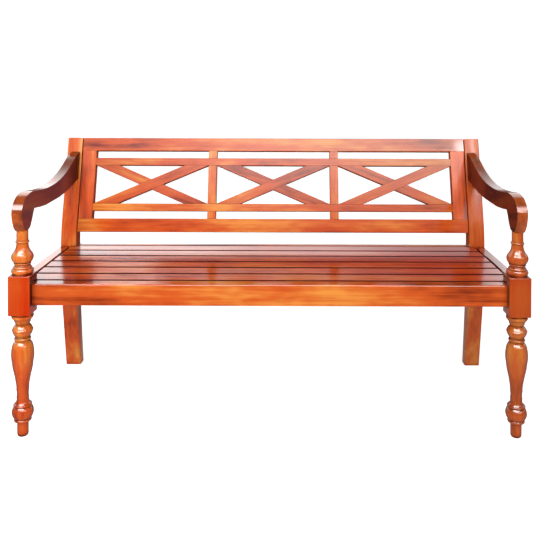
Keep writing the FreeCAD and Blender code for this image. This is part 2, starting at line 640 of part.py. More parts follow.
def upright_mortises(owner, name, start, faces_up):
    """The mortises of one upright's tenon in the top or the bottom rail of the back."""
    low = "back_rail_height - back_tenon_length" if faces_up else "0 - overrun"
    place, width = start
    block(owner, "Subtractive", name,
          (f"{place} + back_tenon_shoulder", "(back_thickness - back_tenon) / 2", low),
          (f"{width} - 2 * back_tenon_shoulder", "back_tenon", "back_tenon_length + overrun"))


def back_long_rail(label, up, faces_up):
    """The back's top or bottom rail, over its whole width, mortised for the uprights."""
    made = back_body(label, f"0 - {BACK_HALF}", up)
    beam = block(made, "Additive", "beam", ORIGIN,
                 (f"2 * {BACK_HALF}", "back_thickness", "back_rail_height"))
    soften(made, beam, "back_edge", lambda edge: is_along(edge, X_AXIS), kind="Chamfer")
    stile = "back_stile_width"
    uprights = [("0", stile), (f"2 * {BACK_HALF} - {stile}", stile)]
    for number in range(int(measure("mullion_count"))):
        uprights.append((f"{mullion_place(number)} + {BACK_HALF}", "mullion_width"))
    for number, start in enumerate(uprights, 1):
        upright_mortises(made, f"mortise_{number}", start, faces_up)
    dowel = f"({dowel_heights()[0 if faces_up else -1]} - {up})"
    for name, start in (("left", "0 - overrun"), ("right", f"2 * {BACK_HALF} - dowel_grip")):
        bore(made, f"dowel_hole_{name}", (start, "back_thickness / 2", dowel), X_AXIS,
             "dowel_radius", "dowel_grip + overrun")


def upright(label, x, width, open_length, start):
    """An upright of the back with a tenon at each end, from bottom rail to top rail."""
    made = back_body(label, x, start)
    beam = block(made, "Additive", "beam", ORIGIN, (width, "back_thickness", open_length))
    soften(made, beam, "back_edge", lambda edge: is_along(edge, Z_AXIS), kind="Chamfer")
    block(made, "Additive", "tenons", ("back_tenon_shoulder", "(back_thickness - back_tenon) / 2",
                                       "0 - back_tenon_length"),
          (f"{width} - 2 * back_tenon_shoulder", "back_tenon", f"{open_length} + 2 * back_tenon_length"))
    return made


def back_stile(name, side):
    """An end stile of the back, mortised for the inner rails."""
    start, width = inward_span(side, f"({BACK_HALF} - back_stile_width)", BACK_HALF)
    open_length = f"({UPPER_RAIL} - {LOWER_RAIL_TOP})"
    made = upright(f"back_stile_{name}", start, width, open_length, LOWER_RAIL_TOP)
    near = "0 - overrun" if side > 0 else "back_stile_width - back_tenon_length"
    for label, up in (("lower", LOWER_INNER), ("upper", UPPER_INNER)):
        block(made, "Subtractive", f"{label}_mortise",
              (near, "(back_thickness - back_tenon) / 2", f"{up} + back_tenon_shoulder - {LOWER_RAIL_TOP}"),
              ("back_tenon_length + overrun", "back_tenon", "inner_rail_height - 2 * back_tenon_shoulder"))


def mullion(number):
    """An inner upright of the back, halved in front where the inner rails cross it."""
    open_length = f"({UPPER_RAIL} - {LOWER_RAIL_TOP})"
    label = f"back_mullion_{SIDES[number][0] if number < len(SIDES) else number + 1}"
    made = upright(label, mullion_place(number), "mullion_width", open_length, LOWER_RAIL_TOP)
    for name, up in (("lower", LOWER_INNER), ("upper", UPPER_INNER)):
        block(made, "Subtractive", f"{name}_lap",
              ("0 - overrun", "0 - overrun", f"{up} - {LOWER_RAIL_TOP}"),
              ("mullion_width + 2 * overrun", "back_thickness / 2 + overrun", "inner_rail_height"))


def inner_rail(name, up):
    """An inner rail of the back, halved behind for the uprights and tenoned into the stiles."""
    made = back_body(f"back_{name}_inner_rail", f"0 - {OPEN_HALF}", up)
    beam = block(made, "Additive", "beam", ORIGIN,
                 (f"2 * {OPEN_HALF}", "back_thickness", "inner_rail_height"))
    soften(made, beam, "back_edge", lambda edge: is_along(edge, X_AXIS), kind="Chamfer")
    block(made, "Additive", "tenons",
          ("0 - back_tenon_length", "(back_thickness - back_tenon) / 2", "back_tenon_shoulder"),
          (f"2 * {OPEN_HALF} + 2 * back_tenon_length", "back_tenon",
           "inner_rail_height - 2 * back_tenon_shoulder"))
    for number in range(int(measure("mullion_count"))):
        block(made, "Subtractive", f"lap_{number + 1}",
              (f"{mullion_place(number)} + {OPEN_HALF}", "back_thickness / 2", "0 - overrun"),
              ("mullion_width", "back_thickness / 2 + overrun", "inner_rail_height + 2 * overrun"))


def brace(bay, rising):
    """One diagonal of a bay; the two are halved over each other where they cross."""
    kind = "rising" if rising else "falling"
    bay_name = ("left", "middle", "right")[bay] if bay < 3 else f"bay_{bay + 1}"
    start = f"({bay} * ({BAY_WIDTH} + mullion_width) + back_stile_width - {BACK_HALF})"
    made = back_body(f"back_brace_{bay_name}_{kind}", start, BRACE_BOTTOM)
    far = f"({BAY_WIDTH} - brace_foot)"
    falling = [(far, "0", 0), (BAY_WIDTH, "0", 0), ("brace_foot", BRACE_HEIGHT, 0), ("0", BRACE_HEIGHT, 0)]
    other = [("0", "0", 0), ("brace_foot", "0", 0), (BAY_WIDTH, BRACE_HEIGHT, 0), (far, BRACE_HEIGHT, 0)]
    shape, crossing = (other, falling) if rising else (falling, other)
    face = sketch_on(made, "face", "XZ_Plane", "0 - back_thickness")
    outline(face, shape)
    board = pad(made, face, "board", "back_thickness")
    soften(made, board, "back_edge", lambda edge: edge.BoundBox.YLength < CLOSE < edge.BoundBox.ZLength,
           kind="Chamfer")
    lap = sketch_on(made, "lap_view", "XZ_Plane",
                    "0 - back_thickness - overrun" if rising else "0 - back_thickness / 2")
    outline(lap, crossing)
    pad(made, lap, "lap", "back_thickness / 2 + overrun", "Pocket")


def back_dowels():
    """The dowels that hold the back frame between the rear posts, as one group."""
    dowels = []
    for side in (-1, 1):
        for up in dowel_heights():
            depth, height = on_slope(BACK_MIDDLE, up)
            dowel = doc.addObject("Part::Cylinder", "dowel")
            dowel.Placement = FreeCAD.Placement(FreeCAD.Vector(), FreeCAD.Rotation(Z_AXIS, X_AXIS))
            bind(dowel, Radius="dowel_radius", Height="2 * dowel_grip + back_gap")
            near = f"({POST_FACE} - back_gap - dowel_grip)"
            low = near if side > 0 else f"(0 - {POST_FACE} - dowel_grip)"
            bind(dowel, Placement__Base__x=low, Placement__Base__y=f"{SHIFT} + {depth}")
            bind(dowel, Placement__Base__z=height)
            dowels.append(dowel)
    group = doc.addObject("Part::MultiFuse", "back_dowels")
    group.Shapes = dowels
    group.Label = "back_dowels"
    bodies.append(group)


def build():
    """Makes every sub-part, from the legs to the back's diagonals."""
    for name, side in SIDES:
        front_leg(name, side)
        rear_post(name, side)
        arm(name, side)
        side_rail(name, side)
        cleat(name, side)
        back_stile(name, side)
    front_rail()
    rear_rail()
    for number in range(int(measure("bearer_count"))):
        bearer(number)
    for number in range(int(measure("slat_count"))):
        slat(number)
    back_long_rail("back_bottom_rail", "back_lift", True)
    back_long_rail("back_top_rail", UPPER_RAIL, False)
    inner_rail("lower", LOWER_INNER)
    inner_rail("upper", UPPER_INNER)
    for number in range(int(measure("mullion_count"))):
        mullion(number)
    for bay in range(int(measure("mullion_count")) + 1):
        brace(bay, True)
        brace(bay, False)
    back_dowels()


def check():
    """Stops if any object failed or any sub-part is not a sound solid."""
    doc.recompute()
    for thing in doc.Objects:
        if "Invalid" in thing.State or "Error" in thing.State:
            raise RuntimeError(f"{thing.Label} did not compute: {thing.State}")
    for made in bodies:
        if made.Shape.isNull() or not made.Shape.isValid():
            raise RuntimeError(f"{made.Label} is not a valid shape")
        solids = len(made.Shape.Solids)
        if solids != 1 and made.Label != "back_dowels":
            raise RuntimeError(f"{made.Label} has {solids} solids")


def export():
    """Writes one STEP file for each sub-part."""
    os.makedirs("parts", exist_ok=True)
    for made in bodies:
        made.Shape.exportStep(os.path.join("parts", f"{made.Label}.step"))


build()
check()
export()
print(len(bodies), "sub-parts")
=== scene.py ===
"""Slatted hardwood bench in red lacquer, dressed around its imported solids.

Turned front legs, bent rear posts, S-shaped arms, a slatted seat and an open back.
"""

import math
import random
from typing import NamedTuple

import bmesh
import bpy
from mathutils import Matrix, Vector


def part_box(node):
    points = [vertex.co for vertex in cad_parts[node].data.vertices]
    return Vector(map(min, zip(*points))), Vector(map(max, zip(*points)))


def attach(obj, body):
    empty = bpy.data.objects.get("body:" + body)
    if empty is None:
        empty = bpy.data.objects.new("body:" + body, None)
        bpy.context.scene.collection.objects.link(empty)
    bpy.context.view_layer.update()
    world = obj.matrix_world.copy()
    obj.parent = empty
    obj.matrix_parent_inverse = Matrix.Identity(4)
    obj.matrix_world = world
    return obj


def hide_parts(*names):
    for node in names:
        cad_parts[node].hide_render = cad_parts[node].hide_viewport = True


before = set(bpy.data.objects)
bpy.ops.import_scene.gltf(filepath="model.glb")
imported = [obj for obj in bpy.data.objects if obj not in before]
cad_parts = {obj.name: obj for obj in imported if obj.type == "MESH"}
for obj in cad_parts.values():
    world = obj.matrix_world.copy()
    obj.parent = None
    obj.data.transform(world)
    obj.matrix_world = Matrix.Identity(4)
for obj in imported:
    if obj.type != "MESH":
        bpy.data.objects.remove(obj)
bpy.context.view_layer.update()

bl_info = {
    "name": "Slatted hardwood bench",
    "version": (1, 0, 0),
    "blender": (4, 5, 0),
    "location": "View3D > Sidebar > Bench",
    "description": "Dresses a slatted bench with turned legs in lacquered hardwood",
    "category": "Object",
}

MM = 0.001
SIDES = ("left", "right")
BAYS = ("left", "middle", "right")
RAKE = math.radians(15)

# Painted shade and sheen, and the pores', knots' and leg blocks' own colours, as linear colours
# Brown, and a red for the slats, laid over the grain most towards the bench's right: painted shade of
# light that falls from the left
SHADE_BROWN = (0.20, 0.066, 0.016)
SLAT_SHADE_RED = (0.46, 0.028, 0.004)
# Painted shade on the slats' faces in the gaps between them
SLAT_GAP_SHADE = (0.02, 0.003, 0.002)
# Painted shade on the arms' sides and on the leg blocks' inner sides
SIDE_SHADE = (0.055, 0.005, 0.004)
# Painted shade along the turned legs' outline
RIM_SHADE = (0.200, 0.030, 0.012)
PORE_DARK = (0.03, 0.004, 0.002)
KNOT_DARK = (0.045, 0.006, 0.003)
# Painted sheen on the front half of the arms' sides
SIDE_SHEEN = {"left": (0.190, 0.048, 0.056), "right": (0.085, 0.012, 0.010)}
BLOCK_RED = {"left": (0.420, 0.0145, 0.0006), "right": (0.388, 0.0125, 0.0005)}

# Turning of the front leg: height above the floor, radius and bulge of the run that follows,
# in millimetres. The bulge is the rise of the run's arc as a share of its chord.
LOWER_TURNING = (
    (0, 10, 0.05),
    (1.4, 13.2, 0.10),
    (7.7, 15.6, 0),
    (41.2, 16, 0),
    (43.6, 21.8, 0.30),
    (51.5, 22.6, 0.10),
    (52.5, 21.6, 0),
    (52.9, 23.4, 0.200),
    (88.1, 23.5, 0),
    (88.4, 22.4, 0),
    (89, 25, 0.28),
    (94.4, 24.6, 0),
    (94.8, 22.2, -0.12),
    (113, 17.4, -0.05),
    (135, 17.6, -0.03),
    (157.9, 19.4, -0.02),
    (187.6, 25.2, 0.02),
    (216.3, 29.7, 0.055),
    (264.6, 28.9, 0.07),
    (277.6, 21, 0),
    (278.2, 20.2, 0),
    (281.4, 20.2, 0),
    (281.8, 22.2, 0.24),
    (288, 22.2, 0),
    (288.4, 20, 0),
    (291.4, 19.8, 0),
    (291.8, 20.4, 0.07),
    (308, 28.6, 0.22),
    (312.8, 28.6, 0.07),
    (326.2, 19.2, 0),
    (326.6, 18.4, 0),
    (329.2, 18.4, 0),
    (329.6, 20, 0.10),
    (333.8, 22.2, 0),
    (334.2, 21.8, -0.05),
    (344.8, 28.6, 0),
    (345.2, 29.4, 0.12),
    (353.8, 30.2, 0),
    (354.4, 28.4, 0),
    (359.9, 28.4, 0),
)
UPPER_TURNING = (
    (470, 28, 0),
    (475.7, 28.2, 0),
    (476.1, 28.6, 0.21),
    (489.5, 28.2, 0),
    (489.9, 26.2, 0.12),
    (496.4, 23.6, 0),
    (496.8, 22.2, -0.20),
    (501.6, 22, 0),
    (502, 23.4, 0.26),
    (506.4, 23.6, 0),
    (506.8, 22.4, 0),
    (507.3, 23.6, 0.22),
    (535, 26, -0.085),
    (560.2, 16.8, 0),
    (563.1, 16.4, 0),
    (563.5, 17.6, 0.34),
    (569.4, 17.6, 0),
    (570, 16.4, 0),
    (599.8, 16.3, 0),
)

# Side views: depth and height in millimetres, and the bulge of the run that follows. The arm's
# rear run meets the post, so its edges stay sharp.
ARM_SIDE_VIEW = (
    (-280.1, 600, 0),
    (-245.9, 600, 0.045),
    (-220.9, 633.7, 0),
    (-208.7, 655.6, 0.032),
    (-57.3, 645.1, 0.019),
    (108.5, 654.5, 0.004),
    (231.9, 675, 0),
    (257.9, 772, 0.034),
    (157.7, 740.2, -0.044),
    (-39.2, 696.8, -0.022),
    (-186.9, 702, 0.055),
    (-259.9, 701.5, 0.125),
    (-308, 661.9, 0.107),
)
ARM_REAR_RUN = 6
POST_SIDE_VIEW = (
    (241.4, 0, 0),
    (276.4, 0, 0),
    (239.1, 265, -0.018),
    (234, 375, 0),
    (234, 430, -0.028),
    (244.7, 540, 0),
    (308, 812.3, 0),
    (271.3, 822.1, 0),
    (195.2, 538.1, 0.0328),
    (181, 430, 0),
    (181, 375, 0.0234),
    (191.2, 266, 0),
)


class BenchFinish(bpy.types.PropertyGroup):
    """Colours and gloss of the wood."""

    light_wood: bpy.props.FloatVectorProperty(
        name="Light wood", description="Colour of the palest streaks under the lacquer",
        subtype="COLOR", size=3, min=0, max=1, default=(0.69, 0.245, 0.042))
    mid_wood: bpy.props.FloatVectorProperty(
        name="Middle wood", description="Colour that most of the wood has",
        subtype="COLOR", size=3, min=0, max=1, default=(0.53, 0.074, 0.011))
    dark_wood: bpy.props.FloatVectorProperty(
        name="Dark wood", description="Colour of the dark streaks and pores",
        subtype="COLOR", size=3, min=0, max=1, default=(0.17, 0.010, 0.002))
    inner_wood: bpy.props.FloatVectorProperty(
        name="Inner wood", description="Colour of the bearers and cleats under the seat",
        subtype="COLOR", size=3, min=0, max=1, default=(0.36, 0.085, 0.024))
    lacquer: bpy.props.FloatProperty(
        name="Lacquer", description="How much clear lacquer lies over the wood",
        subtype="FACTOR", min=0, max=1, default=1)
    lacquer_roughness: bpy.props.FloatProperty(
        name="Lacquer roughness", description="Roughness of the lacquer's own surface",
        subtype="FACTOR", min=0, max=1, default=0.07)
    wood_roughness: bpy.props.FloatProperty(
        name="Wood roughness", description="Roughness of the wood under the lacquer",
        subtype="FACTOR", min=0, max=1, default=0.34)
    steel: bpy.props.FloatVectorProperty(
        name="Screw steel", description="Colour of the screw heads under the seat",
        subtype="COLOR", size=3, min=0, max=1, default=(0.42, 0.38, 0.30))


class BenchShapes(bpy.types.PropertyGroup):
    """Sizes of what is shaped here and not in the solids."""

    turning_sides: bpy.props.IntProperty(
        name="Turning sides", description="Faces around each turned leg", min=24, max=256, default=96)
    arc_step: bpy.props.FloatProperty(
        name="Arc step", description="Most that an arc bends from one face to the next",
        subtype="ANGLE", min=0.01, max=0.5, default=math.radians(5))
    block_edge: bpy.props.FloatProperty(
        name="Block edge", description="Rounding of the leg blocks' edges",
        subtype="DISTANCE", unit="LENGTH", min=0, max=0.01, default=0.0022)
    arm_edge: bpy.props.FloatProperty(
        name="Arm edge", description="Rounding of the arms' edges",
        subtype="DISTANCE", unit="LENGTH", min=0, max=0.01, default=0.0022)
    arm_width: bpy.props.FloatProperty(
        name="Arm width", description="Thickness of the boards that the arms are cut from",
        subtype="DISTANCE", unit="LENGTH", min=0.01, max=0.1, default=0.030)
    post_edge: bpy.props.FloatProperty(
        name="Post edge", description="Rounding of the rear posts' edges",
        subtype="DISTANCE", unit="LENGTH", min=0, max=0.01, default=0.0024)
    screw_radius: bpy.props.FloatProperty(
        name="Screw radius", description="Radius of the countersunk screw heads",
        subtype="DISTANCE", unit="LENGTH", min=0.001, max=0.01, default=0.0042)


class BenchStudio(bpy.types.PropertyGroup):
    """Floor, light and camera."""

    floor_colour: bpy.props.FloatVectorProperty(
        name="Floor", description="Colour of the studio floor",
        subtype="COLOR", size=3, min=0, max=1, default=(0.86, 0.86, 0.86))
    floor_reach: bpy.props.FloatProperty(
        name="Floor reach", description="How far the floor runs from the middle",
        subtype="DISTANCE", unit="LENGTH", min=1, max=200, default=60)
    room_light: bpy.props.FloatProperty(
        name="Room light", description="Strength of the light from all around",
        min=0, max=10, default=0.26)
    room_sheen: bpy.props.FloatProperty(
        name="Room sheen", description="Brightness of the room as the lacquer mirrors it",
        min=0, max=10, default=0.09)
    wall_left: bpy.props.FloatProperty(
        name="Wall left", description="Brightness of the mirrored wall behind, on the left",
        min=0, max=20, default=2.6)
    wall_middle: bpy.props.FloatProperty(
        name="Wall middle", description="Brightness of the mirrored wall behind, in the middle",
        min=0, max=20, default=1.05)
    wall_right: bpy.props.FloatProperty(
        name="Wall right", description="Brightness of the mirrored wall behind, on the right",
        min=0, max=20, default=0.62)
    window: bpy.props.FloatProperty(
        name="Window", description="Brightness of the mirrored window in front",
        min=0, max=40, default=6.5)
    panel: bpy.props.FloatProperty(
        name="Panel", description="Brightness of the mirrored light panel, high in front",
        min=0, max=60, default=22)
    backdrop: bpy.props.FloatProperty(
        name="Backdrop", description="Brightness of the empty backdrop in the picture",
        min=0, max=10, default=1.05)
    floor_sheen: bpy.props.FloatProperty(
        name="Floor sheen", description="Brightness of the floor as the lacquer mirrors it",
        min=0, max=10, default=0.32)
    floor_lift: bpy.props.FloatProperty(
        name="Floor lift", description="How much brighter the floor looks in the picture",
        min=0, max=10, default=0.72)
    camera_place: bpy.props.FloatVectorProperty(
        name="Camera place", description="Where the camera stands",
        subtype="TRANSLATION", unit="LENGTH", size=3, default=(0.0449, -2.2965, 1.0466))
    camera_pitch: bpy.props.FloatProperty(
        name="Camera pitch", description="How far the camera looks down",
        subtype="ANGLE", default=math.radians(0.876))
    camera_roll: bpy.props.FloatProperty(
        name="Camera roll", description="How far the camera leans about its own axis",
        subtype="ANGLE", default=math.radians(0.188))
    lens: bpy.props.FloatProperty(
        name="Lens", description="Focal length of the camera", subtype="DISTANCE_CAMERA",
        min=10, max=200, default=46.83)
    shift: bpy.props.FloatVectorProperty(
        name="Shift", description="Shift of the camera's frame, sideways and up",
        size=2, default=(-0.0295, -0.3376))


def finish_settings():
    """The wood's colours and gloss as they are set."""
    return bpy.context.scene.bench_finish


def shape_settings():
    """The sizes as they are set."""
    return bpy.context.scene.bench_shapes


def studio_settings():
    """Floor, light and camera as they are set."""
    return bpy.context.scene.bench_studio


# Nodes

MIX_INPUTS = (0, 6, 7)              # a mix node's share and two colours, among its sockets for all kinds
MIX_OUTPUT = 2


def node(tree, kind, values=None, **settings):
    """A shader node with its settings; a value that is a socket is linked, any other is set."""
    made = tree.nodes.new(f"ShaderNode{kind}")
    for name, value in settings.items():
        setattr(made, name, value)
    for name, value in (values or {}).items():
        if isinstance(value, bpy.types.NodeSocket):
            tree.links.new(value, made.inputs[name])
        else:
            made.inputs[name].default_value = value
    return made


def emptied(holder):
    """The node tree of a material or a world, with nothing in it."""
    holder.use_nodes = True
    holder.node_tree.nodes.clear()
    return holder.node_tree


def math_node(tree, operation, *values, clamp=False):
    """The output of a math node over sockets or numbers."""
    return node(tree, "Math", dict(enumerate(values)), operation=operation, use_clamp=clamp).outputs[0]


def product(tree, first, *others):
    """Sockets or numbers multiplied one after another."""
    for other in others:
        first = math_node(tree, "MULTIPLY", first, other)
    return first


def ranged(tree, value, low, high, new_low=0, new_high=1):
    """The value mapped smoothly from one range to another."""
    return node(tree, "MapRange", {"Value": value, "From Min": low, "From Max": high, "To Min": new_low,
                                   "To Max": new_high}, interpolation_type="SMOOTHSTEP").outputs[0]


def blended(tree, share, first, second):
    """Two colours mixed; each is a socket or a colour."""
    values = [colour4(value) if isinstance(value, tuple) else value for value in (share, first, second)]
    made = node(tree, "Mix", dict(zip(MIX_INPUTS, values)), data_type="RGBA", clamp_factor=True)
    return made.outputs[MIX_OUTPUT]


def colour4(colour):
    """A colour with full alpha, as the sockets want it."""
    return (*colour, 1)


def stretched(tree, place, scale):
    """A place scaled along its three directions."""
    return node(tree, "VectorMath", {0: place, 1: scale}, operation="MULTIPLY").outputs[0]


def part(tree, place, output, axis):
    """The X, Y or Z of one of a place's outputs; each output is taken apart once."""
    parts = tree.nodes.get(output) or node(tree, "SeparateXYZ", {0: place.outputs[output]}, name=output)
    return parts.outputs[axis]


def facing(tree, place, axis, low, high):
    """How squarely a surface faces along an axis, either way."""
    return ranged(tree, math_node(tree, "ABSOLUTE", part(tree, place, "Normal", axis)), low, high)


class Layer(NamedTuple):
    """A noise pattern: how far it is squeezed along each direction, and the noise's own values."""

    stretch: tuple = None
    scale: float = 1.0
    detail: float = 4
    roughness: float = 0.55
    distortion: float = 0.0


def noise(tree, place, layer):
    """The pattern of a layer over a place."""
    if layer.stretch:
        place = stretched(tree, place, layer.stretch)
    return node(tree, "TexNoise", {"Vector": place, "Scale": layer.scale, "Detail": layer.detail,
                                   "Roughness": layer.roughness,
                                   "Distortion": layer.distortion}).outputs[0]


# Node groups

def new_group(name, inputs):
    """A node group with its inputs, as the group and its sockets inside."""
    group = bpy.data.node_groups.new(name, "ShaderNodeTree")
    for title, kind, default in inputs:
        made = group.interface.new_socket(name=title, in_out="INPUT", socket_type=f"NodeSocket{kind}")
        if default is not None:
            made.default_value = default
    return group, group.nodes.new("NodeGroupInput").outputs


def led_out(group, **results):
    """The group with its outputs: each is named, and has its kind and the socket that feeds it."""
    leave = group.nodes.new("NodeGroupOutput")
    for title, (kind, source) in results.items():
        group.interface.new_socket(name=title, in_out="OUTPUT", socket_type=f"NodeSocket{kind}")
        group.links.new(source, leave.inputs[title])
    return group


# Patterns of the wood; they are squeezed along the grain and across it, and a span is where a
# pattern begins to count and where it counts in full
WANDER = Layer(stretch=(1.1, 6, 6), scale=1.3, detail=2)
WANDER_REACH = (0, 0.030, 0.024)
BROAD_STREAKS = Layer(stretch=(0.9, 17, 17), scale=1.6, detail=5, distortion=0.5)
BANDS = Layer(stretch=(1.7, 70, 70), scale=1.5, roughness=0.6, distortion=0.3)
FIBRES = Layer(stretch=(7, 420, 420), detail=3, roughness=0.6)
PATCHES = Layer(stretch=(2.2, 7, 7), scale=1.6, detail=3, roughness=0.6)
PORE_TICKS = Layer(stretch=(26, 620, 620), detail=2, roughness=0.5)
PORE_TICK_SPAN = (0.60, 0.70)
PORE_FIELDS = Layer(stretch=(3, 40, 40), detail=2)
PORE_FIELD_SPAN = (0.40, 0.62)
PORE_DEPTH = -0.8
PORE_STAIN = 0.42
PORE_STAIN_MIX = 0.55

# How much each pattern counts in the colour and in the height
BROAD_SHARE = 0.62
BAND_SHARE = 0.38
FIBRE_SHARE = 0.16
STREAK_MEAN = 0.58
STREAK_GAIN = 2.6
PATCH_MEAN = 0.5
PATCH_GAIN = 1.9
DARK_SPAN = (0, 0.5)
LIGHT_SPAN = (0.45, 1)
FIBRE_HEIGHT = 0.25
BAND_HEIGHT = 0.3

# Knots sit in some of the cells of a coarse pattern
KNOT_CELLS = (2.6, 5.5, 5.5)
KNOT_RAGGEDNESS = 0.03
KNOT_SPAN = (0.052, 0.030)
KNOT_STAIN = 0.85
HALO_SPAN = (0.26, 0.06)
HALO_STAIN = 0.35


def timber_grain():
    """Streaks, fibres, pores and knots of a board whose grain runs along the first direction."""
    group, given = new_group("timber_grain", (
        ("Place", "Vector", None),
        ("Light", "Color", (0.6, 0.16, 0.04, 1)),
        ("Middle", "Color", (0.5, 0.08, 0.02, 1)),
        ("Dark", "Color", (0.2, 0.02, 0.01, 1)),
        ("Tone", "Float", 0.5),
        ("Streaks", "Float", 0.5),
        ("Knots", "Float", 0.5),
    ))
    place = given["Place"]
    wander = noise(group, place, WANDER)
    push = node(group, "CombineXYZ", {"Y": wander, "Z": wander})
    grain = node(group, "VectorMath", {0: push.outputs[0], 1: WANDER_REACH, 2: place},
                 operation="MULTIPLY_ADD").outputs[0]
    bands = noise(group, grain, BANDS)
    fibres = noise(group, grain, FIBRES)
    pores = product(group, ranged(group, noise(group, grain, PORE_TICKS), *PORE_TICK_SPAN),
                    ranged(group, noise(group, grain, PORE_FIELDS), *PORE_FIELD_SPAN))

    streak = math_node(group, "MULTIPLY_ADD", noise(group, grain, BROAD_STREAKS), BROAD_SHARE,
                       product(group, bands, BAND_SHARE))
    streak = math_node(group, "MULTIPLY_ADD", fibres, FIBRE_SHARE, streak)
    streak = product(group, math_node(group, "SUBTRACT", streak, STREAK_MEAN), given["Streaks"])
    level = math_node(group, "MULTIPLY_ADD", streak, STREAK_GAIN, given["Tone"])
    cloud = math_node(group, "SUBTRACT", noise(group, place, PATCHES), PATCH_MEAN)
    level = math_node(group, "MULTIPLY_ADD", cloud, PATCH_GAIN, level, clamp=True)
    colour = blended(group, ranged(group, level, *DARK_SPAN), given["Dark"], given["Middle"])
    colour = blended(group, ranged(group, level, *LIGHT_SPAN), colour, given["Light"])
    pore_colour = blended(group, PORE_STAIN_MIX, given["Dark"], PORE_DARK)
    colour = blended(group, product(group, pores, PORE_STAIN), colour, pore_colour)

    cell = node(group, "TexVoronoi", {"Vector": stretched(group, place, KNOT_CELLS), "Scale": 1})
    draw = node(group, "SeparateColor", {0: cell.outputs["Color"]})
    chosen = math_node(group, "LESS_THAN", draw.outputs[0], given["Knots"])
    ragged = math_node(group, "MULTIPLY_ADD", bands, KNOT_RAGGEDNESS, cell.outputs["Distance"])
    halo = product(group, ranged(group, ragged, *HALO_SPAN), chosen, HALO_STAIN)
    colour = blended(group, halo, colour, given["Dark"])
    knot = product(group, ranged(group, ragged, *KNOT_SPAN), chosen, KNOT_STAIN)
    colour = blended(group, knot, colour, KNOT_DARK)

    height = math_node(group, "MULTIPLY_ADD", pores, PORE_DEPTH, product(group, fibres, FIBRE_HEIGHT))
    height = math_node(group, "MULTIPLY_ADD", bands, BAND_HEIGHT, height)
    return led_out(group, Colour=("Color", colour), Height=("Float", height), Pores=("Float", pores))


# Edges: how far the rounded normal turns from the flat one, the rubbed spots, the painted shade in a
# groove
EDGE_TURN = (0.985, 0.86)
RUBBED_SPOTS = Layer(scale=38, roughness=0.6)
RUBBED_SPAN = (0.36, 0.62)
GROOVE_SHADE = (0.92, 0.42)


def edge_wear_and_shading():
    """Lighter rubbed edges, as wear and painted highlight, and painted shade in corners and grooves."""
    group, given = new_group("edge_wear_and_shading", (
        ("Colour", "Color", (0.5, 0.1, 0.02, 1)),
        # Worn Colour and Wear: lighter rubbed edges, as wear and painted highlight
        ("Worn Colour", "Color", (0.7, 0.25, 0.08, 1)),
        # Stain Colour and Stain: the painted shade in corners and grooves
        ("Stain Colour", "Color", (0.08, 0.01, 0.005, 1)),
        ("Wear", "Float", 0.4),
        ("Stain", "Float", 0.6),
        ("Edge Radius", "Float", 0.0025),
        ("Groove Reach", "Float", 0.012),
    ))
    bevel = node(group, "Bevel", {"Radius": given["Edge Radius"]}, samples=4).outputs[0]
    place = node(group, "NewGeometry")
    turn = node(group, "VectorMath", {0: bevel, 1: place.outputs["Normal"]}, operation="DOT_PRODUCT")
    rubbed = ranged(group, noise(group, place.outputs["Position"], RUBBED_SPOTS), *RUBBED_SPAN)
    # Lighter rubbed edges: wear and painted highlight
    worn_and_lit = product(group, ranged(group, turn.outputs["Value"], *EDGE_TURN), rubbed)
    worn_and_lit = math_node(group, "MULTIPLY", worn_and_lit, given["Wear"], clamp=True)
    # Painted shade where another face is near, in corners and grooves
    shade = node(group, "AmbientOcclusion", {"Distance": given["Groove Reach"]}, samples=6)
    groove = ranged(group, shade.outputs["AO"], *GROOVE_SHADE)
    shaded_groove = math_node(group, "MULTIPLY", groove, given["Stain"], clamp=True)
    colour = blended(group, worn_and_lit, given["Colour"], given["Worn Colour"])
    colour = blended(group, shaded_groove, colour, given["Stain Colour"])
    return led_out(group, Colour=("Color", colour), Groove=("Float", groove), Normal=("Vector", bevel))


# Patterns of the lacquer, and how much each counts
BRUSH_RIPPLE = Layer(stretch=(9, 60, 60), detail=2, roughness=0.5)
ORANGE_PEEL = Layer(scale=260, detail=2, roughness=0.5)
SMEARS = Layer(stretch=(5, 12, 12), scale=1.4, roughness=0.6)
DUST_SPECKS = Layer(scale=900, detail=1, roughness=0.5)
DUST_SPAN = (0.66, 0.72)
SMEAR_ROUGHNESS = 0.22
SMEAR_MEAN = -0.10
PORE_ROUGHNESS = 0.2
DUST_ROUGHNESS = 0.5
RIPPLE_HEIGHT = 0.7
PEEL_HEIGHT = 0.12


def lacquer_coat():
    """Unevenness of brushed lacquer, with a little dust."""
    group, given = new_group("lacquer_coat", (
        ("Place", "Vector", None),
        ("Wood Roughness", "Float", 0.35),
        ("Pores", "Float", 0),
        ("Dust", "Float", 0.1),
    ))
    place = given["Place"]
    dust = product(group, ranged(group, noise(group, place, DUST_SPECKS), *DUST_SPAN), given["Dust"])
    rough = math_node(group, "MULTIPLY_ADD", noise(group, place, SMEARS), SMEAR_ROUGHNESS,
                      given["Wood Roughness"])
    rough = math_node(group, "ADD", rough, SMEAR_MEAN)
    rough = math_node(group, "MULTIPLY_ADD", given["Pores"], PORE_ROUGHNESS, rough)
    rough = math_node(group, "MULTIPLY_ADD", dust, DUST_ROUGHNESS, rough, clamp=True)
    height = math_node(group, "MULTIPLY_ADD", noise(group, place, BRUSH_RIPPLE), RIPPLE_HEIGHT,
                       product(group, noise(group, place, ORANGE_PEEL), PEEL_HEIGHT))
    return led_out(group, Roughness=("Float", rough), Height=("Float", height))


GROUPS = {"timber_grain": timber_grain, "edge_wear_and_shading": edge_wear_and_shading, "lacquer_coat": lacquer_coat}


